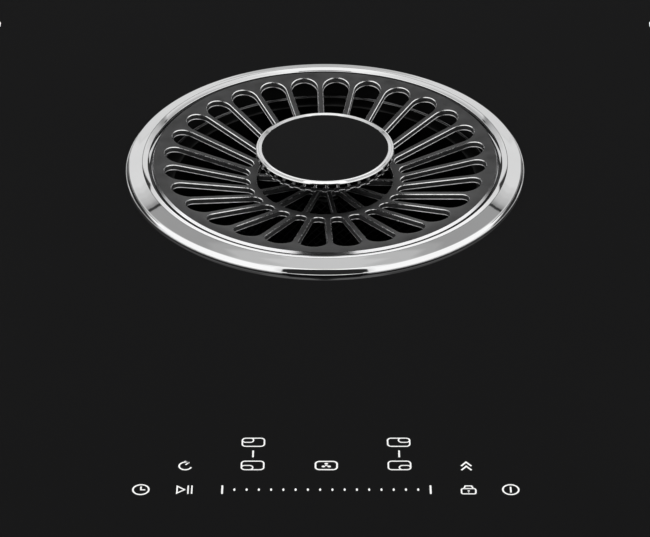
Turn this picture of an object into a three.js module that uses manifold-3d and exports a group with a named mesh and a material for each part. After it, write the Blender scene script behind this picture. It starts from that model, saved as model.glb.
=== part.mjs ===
// Downdraft induction cooktop: a glass hob with a round vent in the middle and a blower box below.
// Millimetres, +X to the cook's right, +Y to the back, +Z up. The origin lies under the middle of
// the glass, on the surface that the blower box stands on.
import * as THREE from 'three';
import { mergeVertices } from 'three/addons/utils/BufferGeometryUtils.js';
import Module from 'manifold-3d';

const wasm = await Module();
wasm.setup();

// ---------------------------------------------------------------- driving dimensions
// Clearances
const SEAT_GAP = 0.3; // between pieces that rest or are glued on each other
const RUN_GAP = 0.4; // round a shaft, a sleeve or a sliding rim
const PAST = 1; // how far a cutter runs past the faces that it opens
const ROOT = 1; // how far a joined piece reaches into its neighbour

// Glass top
const GLASS_W = 830;
const GLASS_D = 515;
const GLASS_T = 4;
const GLASS_CORNER_R = 6;
const GLASS_BEVEL = 1.2;
const VENT_FROM_FRONT = 296; // vent axis to the glass's front edge

// Trim ring round the vent, heights from the glass top
const TRIM_R = 100;
const TRIM_EDGE_H = 2.4; // upright outer edge
const TRIM_BREAK = 0.6; // small facet over the edge, inwards
const TRIM_BREAK_H = 0.4; // and upwards
const TRIM_FACE_W = 8.4; // cone face, from the outer edge to the flat land
const TRIM_LAND_R = TRIM_R - TRIM_FACE_W;
const TRIM_H = 5.1;
const TRIM_LAND_W = 2.9;
const TRIM_BORE_R = TRIM_LAND_R - TRIM_LAND_W;
const TRIM_LEDGE_W = 3.5; // the ledge that the grille rests on
const TRIM_LEDGE_R = TRIM_BORE_R - TRIM_LEDGE_W;
const TRIM_LEDGE_Z = 1.4;
const TRIM_LEDGE_T = 1.8;
const TRIM_SKIRT_T = 2.4;
const TRIM_SKIRT_STEP = 2.1; // outside of the skirt past the bore
const TRIM_SKIRT_R = TRIM_BORE_R + TRIM_SKIRT_STEP;
const TRIM_SKIRT_DROP = 16;
const GASKET_INSET = 2.3; // inside the ring's outer edge
const GASKET_R = TRIM_R - GASKET_INSET;
const GASKET_W = 4.4;
const GASKET_T = 0.9;
const RING_NUT_LIP = 4; // past the ring's outer edge
const RING_NUT_R = TRIM_R + RING_NUT_LIP;
const RING_NUT_T = 4;
const RING_NUT_NOTCHES = 4;
const RING_NUT_NOTCH_W = 8;
const RING_NUT_NOTCH_DEPTH = 4;

// Vent grille, heights from the glass top
const GRILLE_PLAY = 0.7; // round the grille in the ring's bore
const GRILLE_R = TRIM_BORE_R - GRILLE_PLAY;
const GRILLE_T = 3.2;
const GRILLE_TOP_Z = 4.9;
const GRILLE_SLOTS = 28;
const GRILLE_TURN = -4.5; // degrees, first slot from the front towards +X
const RIM_LIP = 0.8; // flat rim inside the slot tips, and ring outside their roots
const GRILLE_RIM_W = 7;
const SLOT_TIP_R = GRILLE_R - GRILLE_RIM_W;
const SLOT_ROOT_R = 38.1;
const SLOT_RIB_W = 2.8;
const DISH_SLOPE = 0.2525; // fall of the ribs for each millimetre inwards
const MID_RING_W = 3.7; // ring between slots and windows
const MID_RING_R = SLOT_ROOT_R - MID_RING_W;
const WINDOW_RIB_W = 2.2;
const WINDOW_FILLET = 1.6;
const HUB_R = 13;
const HUB_Z = -6.9;
const HUB_DROP = 5.2;
const HUB_TAPER = 1;
const GRILLE_CUT = 30; // slot cutters reach this far above and below the glass top

// Round cover on the grille, heights from the glass top
const COVER_TOP_Z = 11.5;
const BEZEL_R = 34.6;
const BEZEL_H = 3;
const BEZEL_BREAK = 0.6;
const BEZEL_LIP_W = 2.3;
const BEZEL_LEDGE_W = 2;
const DISC_T = 1.9;
const DISC_DROP = 0.3; // disc below the bezel's top
const SKIRT_INSET = 1.2; // teeth inside the bezel's edge
const SKIRT_R = BEZEL_R - SKIRT_INSET;
const SKIRT_H = 2.6;
const SKIRT_TEETH = 36;
const SKIRT_TOOTH_W = 1.8;
const SKIRT_TOOTH_DEPTH = 0.9;
const SKIRT_FALL = 1.2; // underside of the skirt, down to the stem
const STEM_R = 9;
const STEM_REACH_R = 24;
const STEM_NECK = 7;
const STUD_R = 4;
const STUD_RISE = 11; // stud above the hub
const STUD_TAIL = 6; // stud below the hub
const NUT_ACROSS = 13;
const NUT_T = 4.5;

// Intake well and grease filter, heights from the glass top
const WELL_TOP_R = TRIM_SKIRT_R - TRIM_SKIRT_T - RUN_GAP;
const WELL_T = 2.2;
const WELL_LEDGE_Z = -10.5;
const WELL_STEP = 5.8; // tube inside the wider top
const WELL_TUBE_R = WELL_TOP_R - WELL_STEP;
const FILTER_PLAY = 1.8; // round the rim in the well's top
const FILTER_RIM_R = WELL_TOP_R - WELL_T - FILTER_PLAY;
const FILTER_RIM_T = 1.2;
const FILTER_ROOM = 2; // round the basket in the tube
const FILTER_R = WELL_TUBE_R - WELL_T - FILTER_ROOM;
const FILTER_WALL = 1.6;
const FILTER_DEPTH = 118;
const FILTER_WINDOWS = 9;
const FILTER_WINDOW_H = 46;
const FILTER_BAR_W = 9;
const WINDOW_RUN = 5; // window cutters run past the round wall
const MESH_T = 2;
const MESH_H = 56;

// Cooktop case and frame
const FRAME_SIDE = 15; // frame's edge inside the glass's, left and right
const FRAME_END = 14.5; // and at the front and back
const FRAME_W = GLASS_W - 2 * FRAME_SIDE;
const FRAME_D = GLASS_D - 2 * FRAME_END;
const FRAME_BAR = 12;
const FRAME_H = 9.7;
const CASE_SIDE = 5; // case wall inside the frame's edge, left and right
const CASE_END = 4; // and at the front and back
const CASE_W = FRAME_W - 2 * CASE_SIDE;
const CASE_D = FRAME_D - 2 * CASE_END;
const CASE_H = 45.7;
const CASE_SHEET = 1.2;
const CASE_CORNER_R = 8;
const POST_H = 5;
const POST_R = 3.5;
const LOUVRES = 5;
const LOUVRE_W = 8;
const LOUVRE_L = 36;
const LOUVRE_PITCH = 18;
const SEAL_W = 8;
const SEAL_T = 2.7;
const SEAL_INSET = 2; // seal's outer edge inside the glass edge

// Induction hob parts
const COIL_W = 196;
const COIL_D = 172;
const COIL_T = 6;
const COIL_EYE_R = 14;
const COIL_GAP = 18; // between the rear and the front coil
const COIL_PITCH = COIL_D + COIL_GAP;
const CARRIER_T = 1.5;
const CARRIER_MARGIN = 6;
const CARRIER_LEG_W = 12;
const CARRIER_SIDE_GAP = 2; // to the frame's bar, left and right
const CARRIER_BACK_GAP = 7; // and at the back
const COIL_RIGHT = FRAME_W / 2 - FRAME_BAR - CARRIER_SIDE_GAP - CARRIER_MARGIN;
const COIL_BACK = FRAME_D / 2 - FRAME_BAR - CARRIER_BACK_GAP - CARRIER_MARGIN;
const COIL_X = COIL_RIGHT - COIL_W / 2;
const COIL_REAR_Y = COIL_BACK - COIL_D / 2;
const MICA_T = 0.8;
const BOARD_T = 1.6;
const BOARD_INSET = 3; // sides of a power board inside its pair of coils
const BOARD_W = COIL_W - 2 * BOARD_INSET;
const BOARD_D = 232;
const BOARD_SIDE_GAP = 15; // to the case's side
const BOARD_FROM_FRONT = 164; // middle of the board behind the case's front
const BOARD_X = CASE_W / 2 - BOARD_SIDE_GAP - BOARD_W / 2;
const BOARD_Y = BOARD_FROM_FRONT - CASE_D / 2;
const POST_INSET = 10;
const SINK_W = 60;
const SINK_D = 150;
const SINK_H = 26;
const SINK_BASE = 5;
const SINK_FINS = 8;
const SINK_FIN_T = 2;
const BLOWER_FROM_BACK = 109; // cooling fan's axis in front of the case's back
const BLOWER_X = BOARD_X;
const BLOWER_Y = CASE_D / 2 - BLOWER_FROM_BACK;
const BLOWER_SIDE = 92;
const BLOWER_H = 25;
const BLOWER_BORE_R = 43;
const BLOWER_STRUT_W = 6;
const BLOWER_FLOOR_T = 2.5;
const BLOWER_PIN_R = 3;
const BLOWER_CORNER_R = 6;
const ROTOR_R = 41;
const ROTOR_HUB_R = 18;
const ROTOR_H = 18;
const ROTOR_BLADES = 7;
const ROTOR_BLADE_T = 1.6;
const ROTOR_BLADE_CHORD = 22;
const ROTOR_BLADE_BOW = 2.75; // middle of a blade above the line between its edges
const ROTOR_PITCH = 38; // degrees

// Touch controls
const TOUCH_BOARD_W = 200;
const TOUCH_BOARD_D = 46;
const TOUCH_GAP = 1.2; // board behind the frame's front bar
const TOUCH_TRAY_T = 2;
const TOUCH_LEG_W = 14;
const TOUCH_CORNER_R = 3;

// Mains connection under the case
const TERMINAL_FROM_SIDE = 115; // middle of the box to the case's left side
const TERMINAL_FROM_BACK = 61; // and to its back
const TERMINAL_X = TERMINAL_FROM_SIDE - CASE_W / 2;
const TERMINAL_Y = CASE_D / 2 - TERMINAL_FROM_BACK;
const TERMINAL_W = 100;
const TERMINAL_D = 74;
const TERMINAL_H = 34;
const TERMINAL_WALL = 2;
const TERMINAL_CORNER_R = 4;
const TERMINAL_WAYS = 5;
const TERMINAL_WAY_W = 13;
const STRIP_SHIFT = 8; // terminal strip away from the gland
const STRIP_D = 24;
const STRIP_H = 14;
const STRIP_WELL_R = 3.5;
const STRIP_WELL_DEPTH = 8;
const GLAND_R = 11;
const GLAND_BORE_R = 6;
const GLAND_NUT_R = 15;
const GLAND_OUT = 16;
const GLAND_IN = 4; // past the inside of the box wall
const GLAND_NUT_T = 6;

// Worktop clamps on the case sides
const CLAMP_FROM_END = 89; // middle of a clamp to the case's front or back
const CLAMP_Y = CASE_D / 2 - CLAMP_FROM_END;
const CLAMP_W = 40;
const CLAMP_SHEET = 2;
const CLAMP_H = 32;
const CLAMP_REACH = 19;
const CLAMP_SCREW_R = 3;
const CLAMP_SCREW_UP = 12;
const CLAMP_SCREW_DOWN = 12;
const CLAMP_PAD_R = 6;
const CLAMP_PAD_T = 2;

// Drip tray
const TRAY_W = 176;
const TRAY_D = 250;
const TRAY_H = 36;
const TRAY_WALL = 1.6;
const TRAY_CORNER_R = 8;
const TRAY_FRONT_MARGIN = 8; // front plate past the opening, each side
const TRAY_FRONT_T = 2.4;
const TRAY_GRIP_W = 70;
const TRAY_GRIP_OUT = 8;
const TRAY_SIDE_GAP = 1.2;

// Blower box
const BOX_FROM_BACK = 7; // box's back inside the case's
const BOX_D = 362;
const BOX_Y1 = CASE_D / 2 - BOX_FROM_BACK;
const BOX_Y0 = BOX_Y1 - BOX_D;
const BOX_H = 149.4;
const BOX_TRAY_ROOM = 22; // beside the tray
const BOX_SCROLL_ROOM = 10; // beside the scroll
const BOX_SHEET = 2;
const BOX_CORNER_R = 10;
const LID_T = 2;

// Blower
const FAN_FROM_TRAY = 108; // blower's axis to the tray's side
const FAN_FROM_BACK = 202; // and to the box's back
const FAN_X = TRAY_W / 2 + FAN_FROM_TRAY;
const FAN_Y = BOX_Y1 - FAN_FROM_BACK;
const SCROLL_R0 = 84;
const SCROLL_R1 = 122;
const SCROLL_TONGUE = 55; // degrees, where the scroll starts
const SCROLL_H = 97.7;
const SCROLL_WALL = 2;
const SCROLL_STEPS = 20;
const INLET_R = 64;
const INLET_THROAT_R = 60;
const INLET_FLANGE_R = 78;
const INLET_T = 1.8;
const INLET_REACH = 9;
const WHEEL_R = 78;
const WHEEL_INNER_R = 63;
const WHEEL_H = 62;
const WHEEL_BLADES = 20;
const WHEEL_BLADE_T = 1.2;
const WHEEL_BLADE_LEAN = 8; // outer edge of a blade ahead of its inner edge
const WHEEL_BLADE_BOW = 5; // control point behind the inner edge
const WHEEL_RING_W = 11;
const WHEEL_PLATE_T = 2;
const WHEEL_RING_H = 3;
const WHEEL_HUB_R = 11;
const WHEEL_HUB_H = 26;
const MOTOR_R = 38;
const MOTOR_H = 18;
const MOTOR_FLANGE_R = 44;
const MOTOR_FLANGE_T = 3;
const SHAFT_R = 4;
const SHAFT_END = 2; // shaft above the wheel's hub
const WHEEL_LIFT = 3; // wheel above the motor

// Outlet to the flat duct
const DUCT_SHIFT = 6; // duct's middle to the left of the blower's axis
const DUCT_X = FAN_X - DUCT_SHIFT;
const DUCT_W = 222;
const DUCT_H = 89;
const DUCT_Z = 8;
const DUCT_WALL = 2;
const DUCT_CORNER_R = 8;
const SPIGOT_OUT = 22;
const SPIGOT_FLANGE = 10;
const FLAP_T = 2;
const FLAP_AXIS_OUT = 8; // hinge line behind the flange
const FLAP_PIN_R = 2;
const FLAP_BARREL_R = 3.2;
const FLAP_SIDE_GAP = 1.5;

// Roundness of revolved pieces
const FINE = 48;
const MEDIUM = 36;
const COARSE = 20;
const ROUND = 14;
const SMALL = 10;
const HEX = 6;
const CORNER_STEPS = 2;
const OVAL_STEPS = 8;
const SLOT_TIP_STEPS = 6;
const SLOT_ROOT_STEPS = 4;

// ---------------------------------------------------------------- heights from the floor up
const LID_Z = BOX_H + SEAT_GAP;
const CASE_Z = LID_Z + LID_T + SEAT_GAP;
const CASE_FLOOR = CASE_Z + CASE_SHEET;
const FRAME_Z = CASE_Z + CASE_H + SEAT_GAP;
const GLASS_Z = FRAME_Z + FRAME_H + SEAT_GAP;
const TOP_Z = GLASS_Z + GLASS_T;
const VENT_Y = VENT_FROM_FRONT - GLASS_D / 2;

// ---------------------------------------------------------------- helpers
const radians = THREE.MathUtils.degToRad;

function solid(geometry) {
  const bare = geometry.clone();
  bare.deleteAttribute('normal');
  bare.deleteAttribute('uv');
  const welded = mergeVertices(bare, 1e-4);
  const points = welded.attributes.position.array;
  const corner = new THREE.Vector3();
  const along = new THREE.Vector3();
  const across = new THREE.Vector3();
  const triangles = [];
  let volume = 0;
  for (let i = 0; i < welded.index.count; i += 3) {
    const [a, b, c] = welded.index.array.slice(i, i + 3);
    if (a === b || b === c || c === a) continue;
    triangles.push([a, b, c]);
    corner.fromArray(points, a * 3);
    along.fromArray(points, b * 3);
    across.fromArray(points, c * 3);
    volume += corner.dot(along.cross(across));
  }
  const outward = volume > 0 ? triangles : triangles.map(([a, b, c]) => [a, c, b]);
  return new wasm.Manifold(
    new wasm.Mesh({
      numProp: 3,
      vertProperties: Float32Array.from(points),
      triVerts: Uint32Array.from(outward.flat()),
    }),
  );
}

function geometryOf(body) {
  const mesh = body.getMesh();
  const geometry = new THREE.BufferGeometry();
  geometry.setAttribute('position', new THREE.BufferAttribute(mesh.vertProperties, 3));
  geometry.setIndex(new THREE.BufferAttribute(mesh.triVerts, 1));
  geometry.computeVertexNormals();
  return geometry;
}

function joined(bodies) {
  return bodies.reduce((whole, next) => whole.add(next));
}

function cut(body, tools) {
  return tools.reduce((rest, tool) => rest.subtract(tool), body);
}

function revolved(profile, steps, x = 0, y = 0) {
  const points = profile.map(([r, z]) => new THREE.Vector2(r, z));
  const geometry = new THREE.LatheGeometry(points, steps);
  geometry.rotateX(Math.PI / 2);
  geometry.translate(x, y, 0);
  return solid(geometry);
}

function ring(outerR, innerR, z0, z1, steps, x = 0, y = 0) {
  const profile = [[innerR, z0], [outerR, z0], [outerR, z1], [innerR, z1], [innerR, z0]];
  return revolved(profile, steps, x, y);
}

function rod(r, z0, z1, steps, x = 0, y = 0) {
  const geometry = new THREE.CylinderGeometry(r, r, z1 - z0, steps);
  geometry.rotateX(Math.PI / 2);
  geometry.translate(x, y, (z0 + z1) / 2);
  return solid(geometry);
}

function rodAcross(r, x0, x1, y, z, steps) {
  const geometry = new THREE.CylinderGeometry(r, r, x1 - x0, steps);
  geometry.rotateZ(Math.PI / 2);
  geometry.translate((x0 + x1) / 2, y, z);
  return solid(geometry);
}

function block(x0, x1, y0, y1, z0, z1) {
  const geometry = new THREE.BoxGeometry(x1 - x0, y1 - y0, z1 - z0);
  geometry.translate((x0 + x1) / 2, (y0 + y1) / 2, (z0 + z1) / 2);
  return solid(geometry);
}

function slab(shape, z0, z1, steps = CORNER_STEPS) {
  const settings = { depth: z1 - z0, bevelEnabled: false, curveSegments: steps };
  const geometry = new THREE.ExtrudeGeometry(shape, settings);
  geometry.translate(0, 0, z0);
  return solid(geometry);
}

function roundedRect(width, depth, r, x = 0, y = 0) {
  const shape = new THREE.Shape();
  const right = x + width / 2;
  const left = x - width / 2;
  const back = y + depth / 2;
  const front = y - depth / 2;
  shape.absarc(right - r, back - r, r, 0, Math.PI / 2);
  shape.absarc(left + r, back - r, r, Math.PI / 2, Math.PI);
  shape.absarc(left + r, front + r, r, Math.PI, Math.PI * 1.5);
  shape.absarc(right - r, front + r, r, Math.PI * 1.5, Math.PI * 2);
  shape.closePath();
  return shape;
}

function roundedTube(width, depth, r, wall, z0, z1, x = 0, y = 0) {
  const shape = roundedRect(width, depth, r, x, y);
  shape.holes.push(roundedRect(width - 2 * wall, depth - 2 * wall, Math.max(r - wall, PAST), x, y));
  return slab(shape, z0, z1);
}

function ellipse(width, depth, x, y) {
  const shape = new THREE.Shape();
  shape.absellipse(x, y, width / 2, depth / 2, 0, Math.PI * 2);
  return shape;
}

function circle(r, x = 0, y = 0) {
  return ellipse(2 * r, 2 * r, x, y);
}

// A turn of zero points to the front, and turns go towards +X.
function turned(body, degrees) {
  return body.rotate([0, 0, degrees - 90]);
}

const cooktop = new THREE.Group();
const vent = new THREE.Group();
vent.position.set(0, VENT_Y, TOP_Z);
cooktop.add(vent);

function place(name, body, look, parent = cooktop) {
  const [color, roughness, metalness] = look;
  const material = new THREE.MeshStandardMaterial({ color, roughness, metalness });
  const mesh = new THREE.Mesh(geometryOf(body), material);
  mesh.name = name;
  parent.add(mesh);
}

// Colour, roughness, metalness
const BLACK_GLASS = [0x1a1a1b, 0.08, 0];
const POLISHED = [0xd8dadb, 0.12, 1];
const CAST_BLACK = [0x3c3d3e, 0.5, 0.3];
const BLACK_PLASTIC = [0x1d1e20, 0.55, 0];
const GREY_PLASTIC = [0x6d7073, 0.6, 0];
const RUBBER = [0x222324, 0.85, 0];
const GALVANISED = [0xa7abae, 0.42, 0.9];
const ALUMINIUM = [0xc3c6c8, 0.35, 0.95];
const STAINLESS = [0xb4b8bb, 0.3, 1];
const COPPER = [0xb3653a, 0.4, 0.9];
const BOARD_GREEN = [0x245a35, 0.6, 0];
const MICA = [0xb9ab8c, 0.7, 0];

// ---------------------------------------------------------------- glass, seal and frame
function makeGlass() {
  const outline = roundedRect(GLASS_W, GLASS_D, GLASS_CORNER_R);
  const geometry = new THREE.ExtrudeGeometry(outline, {
    depth: GLASS_T - 2 * GLASS_BEVEL,
    bevelEnabled: true,
    bevelThickness: GLASS_BEVEL,
    bevelSize: GLASS_BEVEL,
    bevelOffset: -GLASS_BEVEL,
    bevelSegments: 1,
    curveSegments: CORNER_STEPS,
  });
  geometry.translate(0, 0, GLASS_Z + GLASS_BEVEL);
  const hole = rod(TRIM_SKIRT_R + RUN_GAP, GLASS_Z - PAST, TOP_Z + PAST, FINE, 0, VENT_Y);
  place('glass_top', solid(geometry).subtract(hole), BLACK_GLASS);
}

function makeFrameAndSeal() {
  const top = FRAME_Z + FRAME_H;
  const frame = roundedTube(FRAME_W, FRAME_D, CASE_CORNER_R, FRAME_BAR, FRAME_Z, top);
  place('glass_frame', frame, ALUMINIUM);
  const sealW = GLASS_W - 2 * SEAL_INSET;
  const sealD = GLASS_D - 2 * SEAL_INSET;
  const seal = roundedTube(sealW, sealD, GLASS_CORNER_R, SEAL_W, top - SEAL_T, top);
  place('worktop_seal', seal, RUBBER);
}

// ---------------------------------------------------------------- upper case
function louvreRow(x, y) {
  const first = x - (LOUVRE_PITCH * (LOUVRES - 1)) / 2;
  return Array.from({ length: LOUVRES }, (_, i) => {
    const middle = first + i * LOUVRE_PITCH;
    return block(
      middle - LOUVRE_W / 2,
      middle + LOUVRE_W / 2,
      y - LOUVRE_L / 2,
      y + LOUVRE_L / 2,
      CASE_Z - PAST,
      CASE_FLOOR + PAST,
    );
  });
}

function boardPosts(side) {
  const x = side * BOARD_X;
  const dx = BOARD_W / 2 - POST_INSET;
  const dy = BOARD_D / 2 - POST_INSET;
  const corners = [[-dx, -dy], [dx, -dy], [-dx, dy], [dx, dy]];
  return corners.map(([px, py]) =>
    rod(POST_R, CASE_Z + CASE_SHEET / 2, CASE_FLOOR + POST_H, HEX, x + px, BOARD_Y + py),
  );
}

function makeCase() {
  const outer = slab(roundedRect(CASE_W, CASE_D, CASE_CORNER_R), CASE_Z, CASE_Z + CASE_H);
  const inside = roundedRect(
    CASE_W - 2 * CASE_SHEET,
    CASE_D - 2 * CASE_SHEET,
    CASE_CORNER_R - CASE_SHEET,
  );
  const cavity = slab(inside, CASE_FLOOR, CASE_Z + CASE_H + PAST);
  const holeR = WELL_TUBE_R + RUN_GAP;
  const hole = rod(holeR, CASE_Z - PAST, CASE_FLOOR + PAST, FINE, 0, VENT_Y);
  const intakes = [-1, 1].flatMap((side) => louvreRow(side * BLOWER_X, BLOWER_Y));
  const outlets = [-1, 1].flatMap((side) =>
    louvreRow(side * BOARD_X, -CASE_D / 2 + LOUVRE_L / 2 + CASE_CORNER_R),
  );
  const shell = cut(outer, [cavity, hole, ...intakes, ...outlets]);
  place('upper_case', joined([shell, ...boardPosts(-1), ...boardPosts(1)]), GALVANISED);
}

// ---------------------------------------------------------------- vent trim
function makeTrim() {
  const skirtInner = TRIM_SKIRT_R - TRIM_SKIRT_T;
  const ledgeBottom = TRIM_LEDGE_Z - TRIM_LEDGE_T;
  const recessTop = SEAT_GAP + GASKET_T + SEAT_GAP;
  const recessR = GASKET_R + RUN_GAP;
  const profile = [
    [TRIM_SKIRT_R, -TRIM_SKIRT_DROP],
    [TRIM_SKIRT_R, recessTop],
    [recessR, recessTop],
    [recessR, SEAT_GAP],
    [TRIM_R, SEAT_GAP],
    [TRIM_R, TRIM_EDGE_H],
    [TRIM_R - TRIM_BREAK, TRIM_EDGE_H + TRIM_BREAK_H],
    [TRIM_LAND_R, TRIM_H],
    [TRIM_BORE_R, TRIM_H],
    [TRIM_BORE_R, TRIM_LEDGE_Z],
    [TRIM_LEDGE_R, TRIM_LEDGE_Z],
    [TRIM_LEDGE_R, ledgeBottom],
    [skirtInner, ledgeBottom],
    [skirtInner, -TRIM_SKIRT_DROP],
    [TRIM_SKIRT_R, -TRIM_SKIRT_DROP],
  ];
  place('trim_ring', revolved(profile, FINE), POLISHED, vent);
  const gasket = ring(GASKET_R, GASKET_R - GASKET_W, SEAT_GAP, SEAT_GAP + GASKET_T, MEDIUM);
  place('trim_gasket', gasket, RUBBER, vent);
  const nutTop = -GLASS_T - SEAT_GAP;
  const nutBore = TRIM_SKIRT_R + RUN_GAP;
  const blank = ring(RING_NUT_R, nutBore, nutTop - RING_NUT_T, nutTop, MEDIUM);
  const notch = block(
    RING_NUT_R - RING_NUT_NOTCH_DEPTH,
    RING_NUT_R + PAST,
    -RING_NUT_NOTCH_W / 2,
    RING_NUT_NOTCH_W / 2,
    nutTop - RING_NUT_T - PAST,
    nutTop + PAST,
  );
  const notches = Array.from({ length: RING_NUT_NOTCHES }, (_, i) =>
    turned(notch, (i * 360) / RING_NUT_NOTCHES),
  );
  place('trim_ring_nut', cut(blank, notches), BLACK_PLASTIC, vent);
}

// ---------------------------------------------------------------- vent grille
function arc(x, r, from, to, steps) {
  return Array.from({ length: steps + 1 }, (_, i) => {
    const angle = from + ((to - from) * i) / steps;
    return new THREE.Vector2(x + r * Math.cos(angle), r * Math.sin(angle));
  });
}

// The slots widen outwards so that each rib between two of them keeps one width.
function slotShape() {
  const half = Math.PI / GRILLE_SLOTS;
  const spread = Math.sin(half);
  const rib = SLOT_RIB_W / 2;
  const tipD = (SLOT_TIP_R + rib) / (1 + spread);
  const rootD = (SLOT_ROOT_R - rib) / (1 - spread);
  const tipR = SLOT_TIP_R - tipD;
  const rootR = rootD - SLOT_ROOT_R;
  const touch = Math.PI / 2 + half;
  return new THREE.Shape([
    ...arc(tipD, tipR, -touch, touch, SLOT_TIP_STEPS),
    ...arc(rootD, rootR, touch, 2 * Math.PI - touch, SLOT_ROOT_STEPS),
  ]);
}

function windowShape() {
  const half = (2 * Math.PI) / GRILLE_SLOTS;
  const rib = WINDOW_RIB_W / 2;
  const f = WINDOW_FILLET;
  const side = (r) => half - Math.asin(rib / r);
  const at = (r, angle) => [r * Math.cos(angle), r * Math.sin(angle)];
  const outer = MID_RING_R;
  const inner = HUB_R;
  const shape = new THREE.Shape();
  shape.moveTo(...at(inner + f, -side(inner + f)));
  shape.lineTo(...at(outer - f, -side(outer - f)));
  shape.quadraticCurveTo(...at(outer, -side(outer)), ...at(outer, -side(outer) + f / outer));
  shape.absarc(0, 0, outer, -side(outer) + f / outer, side(outer) - f / outer);
  shape.quadraticCurveTo(...at(outer, side(outer)), ...at(outer - f, side(outer - f)));
  shape.lineTo(...at(inner + f, side(inner + f)));
  shape.quadraticCurveTo(...at(inner, side(inner)), ...at(inner, side(inner) - f / inner));
  shape.absarc(0, 0, inner, side(inner) - f / inner, -side(inner) + f / inner, true);
  shape.quadraticCurveTo(...at(inner, -side(inner)), ...at(inner + f, -side(inner + f)));
  return shape;
}

function makeGrille() {
  const rimR = SLOT_TIP_R + RIM_LIP;
  const dishR = SLOT_ROOT_R - RIM_LIP;
  const dishZ = GRILLE_TOP_Z - (rimR - dishR) * DISH_SLOPE;
  const hubBottom = HUB_Z - HUB_DROP;
  const profile = [
    [0, HUB_Z],
    [dishR, dishZ],
    [rimR, GRILLE_TOP_Z],
    [GRILLE_R, GRILLE_TOP_Z],
    [GRILLE_R, GRILLE_TOP_Z - GRILLE_T],
    [rimR, GRILLE_TOP_Z - GRILLE_T],
    [dishR, dishZ - GRILLE_T],
    [HUB_R, HUB_Z - GRILLE_T],
    [HUB_R - HUB_TAPER, hubBottom],
    [0, hubBottom],
  ];
  const dish = turned(revolved(profile, 2 * GRILLE_SLOTS), GRILLE_TURN);
  const bore = rod(STUD_R + RUN_GAP, hubBottom - PAST, HUB_Z + PAST, ROUND);
  const slot = slab(slotShape(), -GRILLE_CUT, GRILLE_CUT);
  const opening = slab(windowShape(), -GRILLE_CUT, GRILLE_CUT, 1);
  const pitch = 360 / GRILLE_SLOTS;
  const cutters = [bore];
  for (let i = 0; i < GRILLE_SLOTS; i += 1) {
    cutters.push(turned(slot, GRILLE_TURN + i * pitch));
    if (i % 2 === 0) cutters.push(turned(opening, GRILLE_TURN + i * pitch));
  }
  place('grille', cut(dish, cutters), CAST_BLACK, vent);
}

// ---------------------------------------------------------------- round cover
function toothedShape() {
  const pitch = (2 * Math.PI) / SKIRT_TEETH;
  const half = SKIRT_TOOTH_W / 2 / SKIRT_R;
  const shape = new THREE.Shape();
  for (let i = 0; i < SKIRT_TEETH; i += 1) {
    const corners = [
      [SKIRT_R - SKIRT_TOOTH_DEPTH, -half],
      [SKIRT_R, -half],
      [SKIRT_R, half],
      [SKIRT_R - SKIRT_TOOTH_DEPTH, half],
    ];
    for (const [r, offset] of corners) {
      const angle = i * pitch + offset;
      const point = [r * Math.cos(angle), r * Math.sin(angle)];
      if (i === 0 && offset < 0 && r < SKIRT_R) shape.moveTo(...point);
      else shape.lineTo(...point);
    }
  }
  shape.closePath();
  return shape;
}

function makeCover() {
  const lipR = BEZEL_R - BEZEL_LIP_W;
  const discTop = COVER_TOP_Z - DISC_DROP;
  const ledgeTop = discTop - DISC_T - SEAT_GAP;
  const bezelBottom = COVER_TOP_Z - BEZEL_H;
  const ledgeR = lipR - BEZEL_LEDGE_W;
  const bezel = revolved(
    [
      [ledgeR, bezelBottom],
      [BEZEL_R, bezelBottom],
      [BEZEL_R, COVER_TOP_Z - BEZEL_BREAK],
      [BEZEL_R - BEZEL_BREAK, COVER_TOP_Z],
      [lipR, COVER_TOP_Z],
      [lipR, ledgeTop],
      [ledgeR, ledgeTop],
      [ledgeR, bezelBottom],
    ],
    MEDIUM,
  );
  place('cap_bezel', bezel, POLISHED, vent);
  place('cap_glass', rod(lipR - SEAT_GAP, discTop - DISC_T, discTop, MEDIUM), BLACK_GLASS, vent);

  const skirtTop = bezelBottom - SEAT_GAP;
  const skirtBottom = skirtTop - SKIRT_H;
  const stemBottom = HUB_Z + SEAT_GAP;
  const stem = revolved(
    [
      [0, skirtTop - SKIRT_H / 2],
      [STEM_REACH_R, skirtTop - SKIRT_H / 2],
      [STEM_REACH_R, skirtBottom - SKIRT_FALL],
      [STEM_R, skirtBottom - STEM_NECK],
      [STEM_R, stemBottom],
      [0, stemBottom],
    ],
    COARSE,
  );
  const skirt = slab(toothedShape(), skirtBottom, skirtTop);
  const studTop = HUB_Z + STUD_RISE;
  const blindBore = rod(STUD_R + RUN_GAP, stemBottom - PAST, studTop + SEAT_GAP, ROUND);
  place('cap_base', skirt.add(stem).subtract(blindBore), BLACK_PLASTIC, vent);

  const hubBottom = HUB_Z - HUB_DROP;
  place('cap_stud', rod(STUD_R, hubBottom - STUD_TAIL, studTop, ROUND), STAINLESS, vent);
  const nutTop = hubBottom - SEAT_GAP;
  const hexR = NUT_ACROSS / 2 / Math.cos(Math.PI / 6);
  const nut = rod(hexR, nutTop - NUT_T, nutTop, HEX);
  const nutBore = rod(STUD_R + RUN_GAP, nutTop - NUT_T - PAST, nutTop + PAST, ROUND);
  place('cap_nut', nut.subtract(nutBore), STAINLESS, vent);
}

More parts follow.
